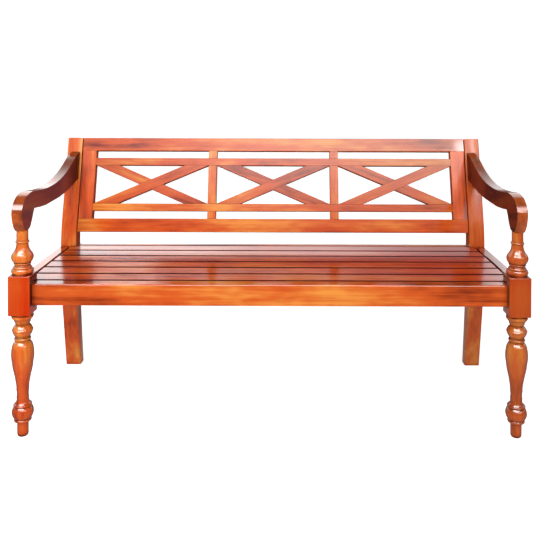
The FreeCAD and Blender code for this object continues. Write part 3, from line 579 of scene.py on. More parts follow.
def grouped(tree, name, **values):
    """A shared group, made when it is first asked for, placed in a material with its own values."""
    return node(tree, "Group", {key.replace("_", " "): value for key, value in values.items()},
                node_tree=bpy.data.node_groups.get(name) or GROUPS[name]())


# Wood

# Turns that bring a piece's grain to the first direction
ALONG_X = (0, 0, 0)
ALONG_Y = (0, 0, -math.pi / 2)
ALONG_Z = (0, math.pi / 2, 0)
UP_POST = (RAKE / 2, math.pi / 2, 0)
UP_SLOPE = (RAKE, math.pi / 2, 0)
ACROSS_SLOPE = (RAKE, 0, 0)


class Look(NamedTuple):
    """How one piece's board is cut, stained, lacquered and given painted light and shade; colours are
    linear, lengths in metres.
    """

    turn: tuple
    tone: float = 0.5             # dark at 0, light at 1
    streaks: float = 0.6          # contrast of the streaks
    knots: float = 0.06           # share of the cells that hold a knot
    wear_and_highlight: float = 0.15            # how far the edges are rubbed and lightened, as wear and painted highlight
    groove_shading: float = 0.85           # how dark the painted shade in the grooves is
    grooves: float = 0.022        # how near another face has to be for a groove
    rounding: float = 0.0022      # radius of the rounded edges
    gloss: float = None           # roughness of the lacquer, where it isn't the usual one
    inner: bool = False           # plain wood under the seat, with little lacquer
    painted_light_middle: float = 0.0      # painted light: how much lighter a rail's middle is
    tint: tuple = SHADE_BROWN           # second colour over the grain: painted shade, on most pieces growing towards the bench's right
    tinted: tuple = None          # share of that painted shade towards the bench's left and right
    gap_shade: float = 0.0      # share of painted shade on the faces that look forwards or back, into the gaps
    shaded_sides: float = 0.0       # share of painted shade on the faces to left and right
    bloom: tuple = None           # painted sheen on the front half of those faces
    side_coat: float = 1.0        # share of the lacquer on those faces
    red_block: tuple = None       # colour of a leg's square block
    head_fall: float = 0.0        # how much darker a leg is above its block, as painted shade


LEG = Look(ALONG_Z, streaks=0.50, knots=0.02, wear_and_highlight=0.3, groove_shading=1, tinted=(0, 0.42))
LEGS = {
    "left": LEG._replace(tone=0.72, red_block=BLOCK_RED["left"], head_fall=0.16),
    "right": LEG._replace(tone=0.70, red_block=BLOCK_RED["right"], head_fall=0.26),
}
ARM = Look(ALONG_Y, tone=0.22, streaks=0.7, knots=0.03, gloss=0.16, tinted=(0.45, 0.50),
           shaded_sides=0.95, side_coat=0.6)
POST = Look(UP_POST, streaks=0.5, knots=0.04, groove_shading=0.45, grooves=0.010, gloss=0.20, tinted=(0, 0.30))
POSTS = {"left": POST._replace(tone=0.60), "right": POST._replace(tone=0.50)}
FRONT_RAIL = Look(ALONG_X, tone=0.36, streaks=0.70, knots=0.30, wear_and_highlight=0.1, groove_shading=0.5, rounding=0.0010,
                  gloss=0.10, painted_light_middle=0.46, tinted=(0.12, 0.20))
REAR_RAIL = Look(ALONG_X, tone=0.42, knots=0.1)
SIDE_RAIL = Look(ALONG_Y, tone=0.40, knots=0.05)
CLEAT = Look(ALONG_Y, tone=0.45, streaks=0.8, knots=0.1, inner=True)
BEARER = Look(ALONG_Y, tone=0.45, streaks=0.8, knots=0.12, inner=True)
SLAT = Look(ALONG_X, streaks=1.0, knots=0.16, wear_and_highlight=0, groove_shading=1, grooves=0.035, rounding=0.0008,
            gloss=0.19, tint=SLAT_SHADE_RED, tinted=(0.25, 0.65), gap_shade=0.97)
SLAT_TONES = (0.32, 0.48)
BACK_RAIL = Look(ACROSS_SLOPE, streaks=0.65, knots=0.10, grooves=0.010, painted_light_middle=0.12)
BACK_RAILS = {
    "back_top_rail": BACK_RAIL._replace(tone=0.58, tinted=(0.02, 0.34)),
    "back_bottom_rail": BACK_RAIL._replace(tone=0.54, tinted=(0.02, 0.18)),
    "back_upper_inner_rail": BACK_RAIL._replace(tone=0.50, tinted=(0.02, 0.34)),
    "back_lower_inner_rail": BACK_RAIL._replace(tone=0.60, tinted=(0.02, 0.24)),
}
STILE = Look(UP_SLOPE, streaks=0.65, knots=0.05, groove_shading=0.45, grooves=0.010, gloss=0.28, tinted=(0, 0.12))
STILES = {"left": STILE._replace(tone=0.50), "right": STILE._replace(tone=0.60)}
MULLION = Look(UP_SLOPE, tone=0.54, knots=0.03, tinted=(0, 0.30))
DOWEL = Look(ALONG_X, inner=True)
BRACE = Look(ACROSS_SLOPE, tone=0.48, tinted=(0.10, 0.34))

# How far off its own place a piece's wood may be cut from the endless pattern, in metres
CUT_REACH = 20

# Where colour, painted light and painted shade change, in metres; each pair is where a change begins and
# where it is complete
SHADE_TINT_SPAN = (-0.4, 0.6)             # across the bench, from the painted shade tint's left share to its right one
RAIL_MIDDLE = 0.02                  # across the bench, where the painted light on long rails is brightest
LIGHT_POOL_REACH = (0.55, 0.02)           # off that middle, for the painted light
FOOT_SPAN = (0.10, 0.27)            # up a leg, from dark to the leg's own tone
FOOT_FALL = 0.30                    # how much darker the foot's tone is
HEAD_SPAN = (0.44, 0.48)            # up a leg, where the painted shade on its head begins
BLOCK_MIDDLE = 0.415                # height of a leg block's middle
BLOCK_REACH = (0.066, 0.056)        # above or below that middle
ABOVE_RAIL_FOOT = (0.380, 0.386)    # height at which the painted shade on the block's sides begins
SHEEN_END = (0.06, 0.20)            # towards the back, where the painted sheen on the arms' sides gives way to painted shade

# How squarely a face has to look along an axis, as a part of its unit normal
SQUARE_ON = (0.80, 0.95)
SIDE_ON = (0.55, 0.9)
FRONT_ON = (0.35, 0.8)

# How far a leg's surface has to turn from the viewer for its painted shade along the outline, and for thin
# lacquer there
RIM_SPAN = (0.25, 1.0)
RIM_COAT_SPAN = (0.72, 0.95)

# How much there is of each colour and painted shade
BLOCK_TINT = 0.8
# Share of painted shade on the leg blocks' sides
BLOCK_SIDE_SHADE = 0.9
SIDE_GRAIN = (0.1, 0.4)             # heights of the grain between which the painted shade on the sides lets the grain through
SIDE_GRAIN_SHARE = 0.84
WORN_LIT_GAIN = 1.15                    # worn edges against the light wood, as wear and painted highlight
WORN_LIT_LIFT = 0.03
GROOVE_SHADE_DARK = 0.22                  # painted shade in grooves against the dark wood

# The plain wood under the seat against its own colour, and its surface
INNER_MIDDLE = 0.8
INNER_DARK = 0.4
INNER_ROUGHNESS = 0.55
INNER_GLOSS = 0.3
INNER_COAT = 0.25
INNER_DUST = 0.5

# Bumps of the fibres and of the lacquer: strength, and depth in metres
FIBRE_BUMP = (0.10, 0.0006)
COAT_BUMP = (0.07, 0.0010)

# How strongly wood and lacquer bend light
WOOD_IOR = 1.5
COAT_IOR = 1.47

# Dust on the lacquer, and the share of the lacquer left in special places
DUST = 0.12
GROOVE_COAT = 0.15
FRONT_COAT = 0.1
RIM_COAT = 0.15
BLOCK_COAT = 0.35


def distance(tree, value, middle):
    """How far a value is from a middle, either way."""
    return math_node(tree, "ABSOLUTE", math_node(tree, "SUBTRACT", value, middle))


def piece_tone(tree, place, look):
    """Tone that changes over a piece: painted light in a rail's middle, darker at a leg's foot, and
    painted shade on a leg's head.
    """
    if look.painted_light_middle:
        away = distance(tree, part(tree, place, "Object", "X"), RAIL_MIDDLE)
        return ranged(tree, away, *LIGHT_POOL_REACH, look.tone, look.tone + look.painted_light_middle)
    height = part(tree, place, "Object", "Z")
    foot = ranged(tree, height, *FOOT_SPAN, look.tone - FOOT_FALL, look.tone)
    return math_node(tree, "SUBTRACT", foot, ranged(tree, height, *HEAD_SPAN, 0, look.head_fall))


def piece_masks(tree, place, look, grain_height):
    """Masks from 0 to 1: a leg's block, and where a piece has painted shade, painted sheen and thinner
    lacquer.
    """
    masks = {}
    if look.red_block:
        height = part(tree, place, "Object", "Z")
        block = ranged(tree, distance(tree, height, BLOCK_MIDDLE), *BLOCK_REACH)
        masks["block"] = block
        # Painted shade on the block's sides, above the rail's foot
        masks["block_side"] = product(tree, facing(tree, place, "X", *SQUARE_ON),
                                      ranged(tree, height, *ABOVE_RAIL_FOOT), block)
        masks["block_front"] = product(tree, facing(tree, place, "Y", *SQUARE_ON), block)
        # The leg's outline as it turns from the viewer, for painted shade and thinner lacquer
        masks["outline"] = node(tree, "LayerWeight", {"Blend": 0.5}).outputs["Facing"]
    # Faces that look forwards or back, for the painted shade in the slats' gaps
    if look.gap_shade:
        masks["fronts"] = facing(tree, place, "Y", *FRONT_ON)
    # Faces to left and right, for their painted shade and painted sheen
    if look.shaded_sides:
        veil = ranged(tree, grain_height, *SIDE_GRAIN, 1, SIDE_GRAIN_SHARE)
        masks["sides"] = product(tree, facing(tree, place, "X", *SIDE_ON), look.shaded_sides, veil)
    return masks


def coloured_and_shaded(tree, place, look, masks, colour):
    """The grain's colour with a leg block's red over it, and painted shade and painted sheen."""
    if look.red_block:
        colour = blended(tree, product(tree, masks["block"], BLOCK_TINT), colour, look.red_block)
        # Painted shade on the block's sides
        colour = blended(tree, product(tree, masks["block_side"], BLOCK_SIDE_SHADE), colour, SIDE_SHADE)
    # Painted shade: this tint grows towards the bench's right
    if look.tinted:
        share = ranged(tree, part(tree, place, "Object", "X"), *SHADE_TINT_SPAN, *look.tinted)
        colour = blended(tree, share, colour, look.tint)
    # Painted shade on the slats' faces in the gaps
    if look.gap_shade:
        colour = blended(tree, product(tree, masks["fronts"], look.gap_shade), colour, SLAT_GAP_SHADE)
    # Painted sheen on the front of the arms' sides, painted shade behind it
    if look.shaded_sides:
        depth = ranged(tree, part(tree, place, "Object", "Y"), *SHEEN_END)
        colour = blended(tree, masks["sides"], colour, blended(tree, depth, look.bloom, SIDE_SHADE))
    # Painted shade along a leg's outline, off its block
    if look.red_block:
        rim = product(tree, ranged(tree, masks["outline"], *RIM_SPAN),
                      math_node(tree, "SUBTRACT", 1, masks["block"]))
        colour = blended(tree, rim, colour, RIM_SHADE)
    return colour


def coat_weight(tree, look, masks, groove):
    """How much lacquer shows: less in grooves, on the faces with painted shade and along a leg's outline.
    """
    whole = INNER_COAT if look.inner else finish_settings().lacquer
    weight = ranged(tree, groove, 0, 1, whole, GROOVE_COAT * whole)
    if look.gap_shade:
        weight = product(tree, weight, ranged(tree, masks["fronts"], 0, 1, 1, FRONT_COAT))
    if look.shaded_sides:
        weight = product(tree, weight, ranged(tree, masks["sides"], 0, look.shaded_sides, 1, look.side_coat))
    if look.red_block:
        rim = ranged(tree, masks["outline"], *RIM_COAT_SPAN, 1, RIM_COAT)
        weight = product(tree, weight, math_node(tree, "MAXIMUM", rim, masks["block"]),
                         ranged(tree, masks["block_front"], 0, 1, 1, BLOCK_COAT))
    return weight


def timber(label, look):
    """Lacquered wood for one piece, with its own cut of the tree."""
    finish = finish_settings()
    lot = random.Random(label)
    material = bpy.data.materials.new(f"{label}_wood")
    tree = emptied(material)
    place = node(tree, "TexCoord")
    start = [lot.uniform(-CUT_REACH, CUT_REACH) for unused in range(3)]
    cut = node(tree, "Mapping", {"Vector": place.outputs["Object"], "Location": start,
                                 "Rotation": look.turn}).outputs[0]
    light = finish.inner_wood if look.inner else finish.light_wood
    middle = [INNER_MIDDLE * value for value in light] if look.inner else finish.mid_wood
    dark = [INNER_DARK * value for value in light] if look.inner else finish.dark_wood
    changing = look.painted_light_middle or look.red_block
    grain = grouped(tree, "timber_grain", Place=cut, Light=colour4(light), Middle=colour4(middle),
                    Dark=colour4(dark), Streaks=look.streaks, Knots=look.knots,
                    Tone=piece_tone(tree, place, look) if changing else look.tone).outputs
    masks = piece_masks(tree, place, look, grain["Height"])

    # Worn colour: wear and painted highlight on the edges; the groove colour is painted shade
    worn_and_lit = [min(1, WORN_LIT_GAIN * value + WORN_LIT_LIFT) for value in light]
    edges = grouped(tree, "edge_wear_and_shading", Colour=coloured_and_shaded(tree, place, look, masks, grain["Colour"]),
                    Worn_Colour=colour4(worn_and_lit), Wear=look.wear_and_highlight, Stain=look.groove_shading,
                    Stain_Colour=colour4([GROOVE_SHADE_DARK * value for value in dark]),
                    Edge_Radius=look.rounding, Groove_Reach=look.grooves).outputs
    coat = grouped(tree, "lacquer_coat", Place=cut, Pores=grain["Pores"],
                   Dust=INNER_DUST if look.inner else DUST,
                   Wood_Roughness=INNER_ROUGHNESS if look.inner else finish.wood_roughness).outputs
    normal = bumped(tree, *FIBRE_BUMP, grain["Height"], edges["Normal"])
    show(tree, node(tree, "BsdfPrincipled", {
        "Base Color": edges["Colour"],
        "Roughness": coat["Roughness"],
        "IOR": WOOD_IOR,
        "Specular IOR Level": 0,
        "Coat IOR": COAT_IOR,
        "Coat Roughness": look.gloss or (INNER_GLOSS if look.inner else finish.lacquer_roughness),
        "Coat Weight": coat_weight(tree, look, masks, edges["Groove"]),
        "Normal": bumped(tree, *COAT_BUMP, coat["Height"], normal),
    }))
    return material


def bumped(tree, strength, depth, height, normal=None):
    """The normal over a height, from another normal where one is given."""
    values = {"Strength": strength, "Distance": depth, "Height": height}
    if normal:
        values["Normal"] = normal
    return node(tree, "Bump", values).outputs[0]


def show(tree, shader, kind="OutputMaterial"):
    """Leads a shader to the tree's output."""
    node(tree, kind, {"Surface": shader.outputs[0]})


def dress(name, look):
    """Gives a CAD node the wood of that look."""
    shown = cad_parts[name]
    shown.data.materials.clear()
    shown.data.materials.append(timber(name, look))


def node_names(start):
    """The names of the CAD nodes that begin like that, in order."""
    return [name for name in sorted(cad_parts) if name.startswith(start)]


# Shapes

EDGE_STEPS = 3                      # faces across a rounded edge
SHARP_ANGLE = math.radians(32)      # least bend that is shaded as a sharp edge
BLOCK_LAP = 2 * MM                  # how far a leg's block reaches over its turnings


def arc_run(start, end, bulge, step):
    """Points from start up to, but without, end, along an arc of that bulge."""
    half = 2 * math.atan(2 * bulge)
    count = max(1, math.ceil(abs(2 * half) / step))
    run = end[0] - start[0]
    rise = end[1] - start[1]
    points = [Vector(start[:2])]
    for number in range(1, count):
        angle = half * (2 * number / count - 1)
        along = (math.sin(angle) / math.sin(half) + 1) / 2
        out = (math.cos(angle) - math.cos(half)) / (2 * math.sin(half))
        points.append(Vector((start[0] + run * along + rise * out, start[1] + rise * along - run * out)))
    return points


def new_piece(name, mesh, material, *replaced):
    """Links a mesh as a piece that rides on the bench and may stand for CAD nodes."""
    piece = bpy.data.objects.new(name, mesh)
    bpy.context.scene.collection.objects.link(piece)
    mesh.materials.append(material)
    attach(piece, "root")
    if replaced:
        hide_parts(*replaced)
    return piece


def circle(sides):
    """The directions of a ring's corners from its middle, across and back."""
    angles = [2 * math.pi * number / sides for number in range(sides)]
    return [(math.cos(angle), math.sin(angle)) for angle in angles]


def band(build, ring, other):
    """Joins two rings of corners with faces all round."""
    for number in range(len(ring)):
        after = (number + 1) % len(ring)
        build.faces.new((ring[number], ring[after], other[after], other[number]))


def lathe(build, axis, profile, shapes):
    """Adds a closed turned shape to a bmesh: profile is height, radius and bulge in millimetres."""
    outline = []
    for here, there in zip(profile, profile[1:]):
        outline += arc_run((here[1], here[0]), (there[1], there[0]), here[2], shapes.arc_step)
    outline.append(Vector((profile[-1][1], profile[-1][0])))
    corners = circle(shapes.turning_sides)
    rings = []
    for radius, height in outline:
        reach = radius * MM
        rings.append([build.verts.new((axis.x + reach * across, axis.y + reach * back, height * MM))
                      for across, back in corners])
    for low, high in zip(rings, rings[1:]):
        band(build, low, high)
    build.faces.new(list(reversed(rings[0])))
    build.faces.new(rings[-1])


def rounded(build, edges, radius):
    """Rounds edges of a bmesh."""
    bmesh.ops.bevel(build, geom=edges, offset=radius, segments=EDGE_STEPS, profile=0.5, affect="EDGES",
                    clamp_overlap=True)


def rounded_block(build, low, high, radius):
    """Adds a block with rounded edges to a bmesh."""
    corners = bmesh.ops.create_cube(build, size=1)["verts"]
    for vert in corners:
        vert.co = Vector([low[k] if vert.co[k] < 0 else high[k] for k in range(3)])
    edges = dict.fromkeys(edge for vert in corners for edge in vert.link_edges)
    rounded(build, list(edges), radius)


def finished_mesh(name, build, sharp=SHARP_ANGLE):
    """A mesh from a bmesh, smooth but for its sharp edges."""
    bmesh.ops.recalc_face_normals(build, faces=build.faces)
    mesh = bpy.data.meshes.new(name)
    build.to_mesh(mesh)
    build.free()
    mesh.shade_smooth()
    mesh.set_sharp_from_angle(angle=sharp)
    return mesh


def sawn_board(name, side_view, low_x, high_x, radius, step, plain_runs=()):
    """A board sawn to a side view, its edges rounded but for the runs that meet another piece."""
    points = []
    plain = set()
    for number, here in enumerate(side_view):
        there = side_view[(number + 1) % len(side_view)]
        run = arc_run(here, there, here[2], step)
        if number in plain_runs:
            plain.update(range(len(points), len(points) + len(run)))
        points += run
    build = bmesh.new()
    walls = []
    for x in (low_x, high_x):
        walls.append([build.verts.new((x, depth * MM, height * MM)) for depth, height in points])
    build.faces.new(walls[0])
    build.faces.new(list(reversed(walls[1])))
    edges = []
    for number in range(len(points)):
        after = (number + 1) % len(points)
        build.faces.new((walls[0][number], walls[1][number], walls[1][after], walls[0][after]))
        if number not in plain:
            edges += [build.edges.get((wall[number], wall[after])) for wall in walls]
    rounded(build, edges, radius)
    return finished_mesh(name, build)


class BENCH_OT_front_legs(bpy.types.Operator):
    """Turned front legs with their square blocks"""

    bl_idname = "bench.front_legs"
    bl_label = "Front legs"

    def execute(self, context):
        shapes = shape_settings()
        for side in SIDES:
            name = f"turned_leg_{side}"
            node_name = f"front_leg_{side}"
            low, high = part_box(node_name)
            axis = (low + high) / 2
            foot = LOWER_TURNING[-1][0] * MM - BLOCK_LAP
            head = UPPER_TURNING[0][0] * MM + BLOCK_LAP
            build = bmesh.new()
            lathe(build, axis, LOWER_TURNING, shapes)
            rounded_block(build, (low.x, low.y, foot), (high.x, high.y, head), shapes.block_edge)
            lathe(build, axis, UPPER_TURNING, shapes)
            piece = new_piece(name, finished_mesh(name, build), timber(name, LEGS[side]), node_name)
        return {"FINISHED"}


class BENCH_OT_arms(bpy.types.Operator):
    """S-shaped arms that end in a scroll over the front legs"""

    bl_idname = "bench.arms"
    bl_label = "Arms"

    def execute(self, context):
        shapes = shape_settings()
        for side in SIDES:
            name = f"scrolled_arm_{side}"
            node_name = f"arm_{side}"
            low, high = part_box(node_name)
            middle = (low.x + high.x) / 2
            half = shapes.arm_width / 2
            mesh = sawn_board(name, ARM_SIDE_VIEW, middle - half, middle + half, shapes.arm_edge,
                              shapes.arc_step, (ARM_REAR_RUN,))
            wood = timber(name, ARM._replace(bloom=SIDE_SHEEN[side]))
            piece = new_piece(name, mesh, wood, node_name)
        return {"FINISHED"}


class BENCH_OT_rear_posts(bpy.types.Operator):
    """Rear posts, splayed at the foot and raked above the seat"""

    bl_idname = "bench.rear_posts"
    bl_label = "Rear posts"

    def execute(self, context):
        shapes = shape_settings()
        for side in SIDES:
            name = f"sawn_post_{side}"
            node_name = f"rear_post_{side}"
            low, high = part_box(node_name)
            mesh = sawn_board(name, POST_SIDE_VIEW, low.x, high.x, shapes.post_edge, shapes.arc_step)
            piece = new_piece(name, mesh, timber(name, POSTS[side]), node_name)
        return {"FINISHED"}


class BENCH_OT_seat_frame(bpy.types.Operator):
    """Seat rails, with the bearers and cleats that carry the slats"""

    bl_idname = "bench.seat_frame"
    bl_label = "Seat frame"

    def execute(self, context):
        dress("front_seat_rail", FRONT_RAIL)
        dress("rear_seat_rail", REAR_RAIL)
        for side in SIDES:
            dress(f"side_seat_rail_{side}", SIDE_RAIL)
            dress(f"slat_cleat_{side}", CLEAT)
        for name in node_names("seat_bearer"):
            dress(name, BEARER)
        return {"FINISHED"}


class BENCH_OT_seat_slats(bpy.types.Operator):
    """Seat slats, each cut from another board"""

    bl_idname = "bench.seat_slats"
    bl_label = "Seat slats"

    def execute(self, context):
        lot = random.Random("slats")
        for name in node_names("seat_slat"):
            dress(name, SLAT._replace(tone=lot.uniform(*SLAT_TONES)))
        return {"FINISHED"}


class BENCH_OT_back_frame(bpy.types.Operator):
    """Rails, stiles and mullions of the back"""

    bl_idname = "bench.back_frame"
    bl_label = "Back frame"

    def execute(self, context):
        for name, look in BACK_RAILS.items():
            dress(name, look)
        for side in SIDES:
            dress(f"back_stile_{side}", STILES[side])
            dress(f"back_mullion_{side}", MULLION)
        dress("back_dowels", DOWEL)
        return {"FINISHED"}


class BENCH_OT_back_braces(bpy.types.Operator):
    """Crossed braces in the three bays of the back"""

    bl_idname = "bench.back_braces"
    bl_label = "Back braces"

    def execute(self, context):
        for bay in BAYS:
            for lean, sign in (("rising", 1), ("falling", -1)):
                name = f"back_brace_{bay}_{lean}"
                low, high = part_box(name)
                slope = math.atan2((high.z - low.z) / math.cos(RAKE), high.x - low.x)
                dress(name, BRACE._replace(turn=(RAKE, sign * slope, 0)))
        return {"FINISHED"}


# Screws, with lengths in metres
SCREW_MARGIN = 0.012                # least wood from a screw's middle to its carrier's ends
SCREW_SHARP_ANGLE = math.radians(25)
SCREW_SIDES = 24
HEAD_LIFT = 0.0006                  # how far the head's rim sits inside the wood
HEAD_PROUD = 0.0003                 # how far the head's flat stands out
SLOT_DEPTH = 0.0012
HEAD_FLAT = 0.94                    # the flat and the crossed slot as shares of the head's radius
SLOT_HALF_WIDTH = 0.16
SLOT_HALF_LENGTH = 0.62
SLOT_FLOOR = 0.8                    # the slot's floor as a share of its mouth


class BENCH_OT_screws(bpy.types.Operator):
    """Countersunk screws that hold the slats from below"""

    bl_idname = "bench.screws"
    bl_label = "Slat screws"

    def execute(self, context):
        build = bmesh.new()
        for carrier in node_names(("seat_bearer", "slat_cleat")):
            low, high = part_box(carrier)
            across = (low.x + high.x) / 2
            for slat in node_names("seat_slat"):
                front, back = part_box(slat)
                depth = (front.y + back.y) / 2
                if low.y + SCREW_MARGIN < depth < high.y - SCREW_MARGIN:
                    screw_head(build, Vector((across, depth, low.z)), shape_settings().screw_radius)
        new_piece("slat_screws", finished_mesh("slat_screws", build, SCREW_SHARP_ANGLE), screw_steel())
        return {"FINISHED"}


def screw_head(build, place, radius):
    """Adds a countersunk head with a crossed slot, facing down."""
    near = SLOT_HALF_WIDTH * radius
    far = SLOT_HALF_LENGTH * radius
    cross = [(near, near), (far, near), (far, -near), (near, -near), (near, -far), (-near, -far),
             (-near, -near), (-far, -near), (-far, near), (-near, near), (-near, far), (near, far)]
    proud = Vector((0, 0, HEAD_PROUD))
    rim = []
    lip = []
    for across, back in circle(SCREW_SIDES):
        out = Vector((across, back, 0))
        rim.append(build.verts.new(place + out * radius + Vector((0, 0, HEAD_LIFT))))
        lip.append(build.verts.new(place + out * radius * HEAD_FLAT - proud))
    mouth = [build.verts.new(place + Vector((x, y, 0)) - proud) for x, y in cross]
    floor = [build.verts.new(place + Vector((x * SLOT_FLOOR, y * SLOT_FLOOR, SLOT_DEPTH)))
             for x, y in cross]
    band(build, rim, lip)
    band(build, mouth, floor)
    build.faces.new(floor)
    build.faces.new(rim)
    edges = []
    for ring in (lip, mouth):
        edges += [build.edges.get(pair) for pair in zip(ring, ring[1:] + ring[:1])]
    bmesh.ops.triangle_fill(build, use_beauty=True, use_dissolve=False, edges=edges)


# The screws' steel
STEEL_MARKS = Layer(scale=900, detail=3, roughness=0.6)
STEEL_MARK_SPAN = (0.3, 0.7)
STEEL_ROUGHNESS = (0.28, 0.5)
STEEL_STAINS = Layer(scale=160, detail=3, roughness=0.5)
STEEL_STAIN_SPAN = (0.4, 0.7)
STEEL_STAIN_SHARE = 0.6
STEEL_BUMP = (0.2, 0.0002)


def screw_steel():
    """Yellow-passivated steel with fine turning marks."""
    material = bpy.data.materials.new("screw_steel")
    tree = emptied(material)
    place = node(tree, "TexCoord").outputs["Object"]
    marks = noise(tree, place, STEEL_MARKS)
    stains = ranged(tree, noise(tree, place, STEEL_STAINS), *STEEL_STAIN_SPAN)
    steel = tuple(finish_settings().steel)
    colour = blended(tree, stains, steel, tuple(STEEL_STAIN_SHARE * value for value in steel))
    show(tree, node(tree, "BsdfPrincipled", {
        "Base Color": colour,
        "Metallic": 1,
        "Roughness": ranged(tree, marks, *STEEL_MARK_SPAN, *STEEL_ROUGHNESS),
        "Normal": bumped(tree, *STEEL_BUMP, marks),
    }))
    return material


# Studio

WHITE = (1, 1, 1, 1)


class Softbox(NamedTuple):
    """A soft light: where it hangs, where it points, its size, its radiance, and if lacquer mirrors it."""

    place: tuple
    target: tuple
    width: float
    height: float
    radiance: float
    mirrored: bool = False


SOFTBOXES = {
    "overhead_light": Softbox((-0.5, -0.5, 2.9), (0, 0, 0.3), width=3.0, height=2.2, radiance=0.6),
    "front_light": Softbox((0.7, -6.0, 4.2), (0, 0, 0.5), width=4.2, height=2.1, radiance=4.6),
    "fill_light": Softbox((-0.4, -5.8, 1.1), (0, 0, 0.5), width=3.2, height=1.6, radiance=6.4),
    "middle_light": Softbox((0.03, -1.35, 0.80), (0.02, -0.2, 0.42), width=0.5, height=0.35, radiance=5.0),
    "left_light": Softbox((-2.3, -1.8, 0.25), (-0.75, 0, 0.1), width=1.2, height=0.5, radiance=6.0),
    "right_light": Softbox((2.3, -1.8, 0.25), (0.75, 0, 0.1), width=1.2, height=0.5, radiance=3.0),
    "glint_light": Softbox((-1.3, -2.2, 3.2), (0, 0, 0.5), width=0.5, height=0.5, radiance=44.0,
                           mirrored=True),
    "side_glint_light": Softbox((1.6, -2.6, 1.9), (0, 0, 0.5), width=0.3, height=0.5, radiance=20.0,
                                mirrored=True),
}
SENSOR_WIDTH = 36


class BENCH_OT_studio(bpy.types.Operator):
    """Pale floor, soft light and the camera"""

    bl_idname = "bench.studio"
    bl_label = "Studio"

    def execute(self, context):
        studio = studio_settings()
        reach = studio.floor_reach
        mesh = bpy.data.meshes.new("studio_floor")
        mesh.from_pydata([(-reach, -reach, 0), (reach, -reach, 0), (reach, reach, 0), (-reach, reach, 0)],
                         [], [(0, 1, 2, 3)])
        mesh.materials.append(floor_paper())
        floor = bpy.data.objects.new("studio_floor", mesh)
        context.scene.collection.objects.link(floor)
        context.scene.world = studio_room()
        for name, box in SOFTBOXES.items():
            hang_light(name, box)
        context.scene.camera = photo_camera()
        context.scene.view_settings.view_transform = "Standard"
        return {"FINISHED"}


def hang_light(name, box):
    """A soft light that the camera doesn't see, and the lacquer only if it is mirrored."""
    lamp = bpy.data.lights.new(name, "AREA")
    lamp.shape = "RECTANGLE"
    lamp.size = box.width
    lamp.size_y = box.height
    lamp.energy = box.radiance * math.pi * box.width * box.height
    holder = bpy.data.objects.new(name, lamp)
    bpy.context.scene.collection.objects.link(holder)
    holder.location = box.place
    aim = Vector(box.target) - Vector(box.place)
    holder.rotation_euler = aim.to_track_quat("-Z", "Y").to_euler()
    holder.visible_camera = False
    holder.visible_glossy = box.mirrored


def photo_camera():
    """The camera that sees the bench as the photograph does."""
    studio = studio_settings()
    view = bpy.data.cameras.new("photo_camera")
    view.sensor_width = SENSOR_WIDTH
    view.lens = studio.lens
    view.shift_x = studio.shift[0]
    view.shift_y = studio.shift[1]
    camera = bpy.data.objects.new("photo_camera", view)
    bpy.context.scene.collection.objects.link(camera)
    tilt = Matrix.Rotation(math.pi / 2 - studio.camera_pitch, 4, "X")
    roll = Matrix.Rotation(studio.camera_roll, 4, "Z")
    camera.matrix_world = Matrix.Translation(studio.camera_place) @ tilt @ roll
    return camera


def studio_room():
    """The world: even light, the room that the lacquer mirrors, and the backdrop of the picture."""
    studio = studio_settings()
    world = bpy.data.worlds.new("studio_room")
    tree = emptied(world)
    path = node(tree, "LightPath")
    shown = node(tree, "Background", {"Color": WHITE, "Strength": studio.room_light})
    mirrored = node(tree, "Background", {"Color": WHITE, "Strength": mirrored_room(tree, path)})
    backdrop = node(tree, "Background", {"Color": WHITE, "Strength": studio.backdrop})
    shown = chosen_shader(tree, path.outputs["Is Glossy Ray"], shown, mirrored)
    shown = chosen_shader(tree, path.outputs["Is Camera Ray"], shown, backdrop)
    show(tree, shown, "OutputWorld")
    return world


def chosen_shader(tree, share, usual, other):
    """A mix of two shaders."""
    return node(tree, "MixShader", {0: share, 1: usual.outputs[0], 2: other.outputs[0]})


# The mirrored room: each pair is where a fade begins and where it is complete, as parts of the unit
# direction that a mirrored ray takes, across to the right, back or up
WALL_LEFT_FADE = (-0.26, -0.02)
WALL_RIGHT_FADE = (0.0, 0.24)
WALL_CORNER = (0.25, 0.29)
WALL_CORNER_LIFT = 1.1
WALL_BACK = (0.0, 0.3)
WALL_FOOT = (0.05, 0.17)
WALL_HEAD = (0.80, 0.55)
FLARE = 1.30
FLARE_FOOT = (0.22, 0.30)
FLARE_WIDTH = (0.20, 0.08)
WINDOW_FRONT = (-0.25, -0.6)
WINDOW_FOOT = (0.28, 0.43)
WINDOW_HEAD = (0.62, 0.48)
WINDOW_LEFT = (-0.30, 0.02)
WINDOW_LEFT_SHARE = 0.30
PANEL_FRONT = (-0.10, -0.40)
PANEL_FOOT = (0.52, 0.64)
PANEL_HEAD = (0.92, 0.80)
PANEL_LEFT = (-0.75, -0.45)
PANEL_RIGHT = (0.50, 0.20)
FIRST_MIRRORING = 1.5               # rays mirrored twice don't see the window and the panel


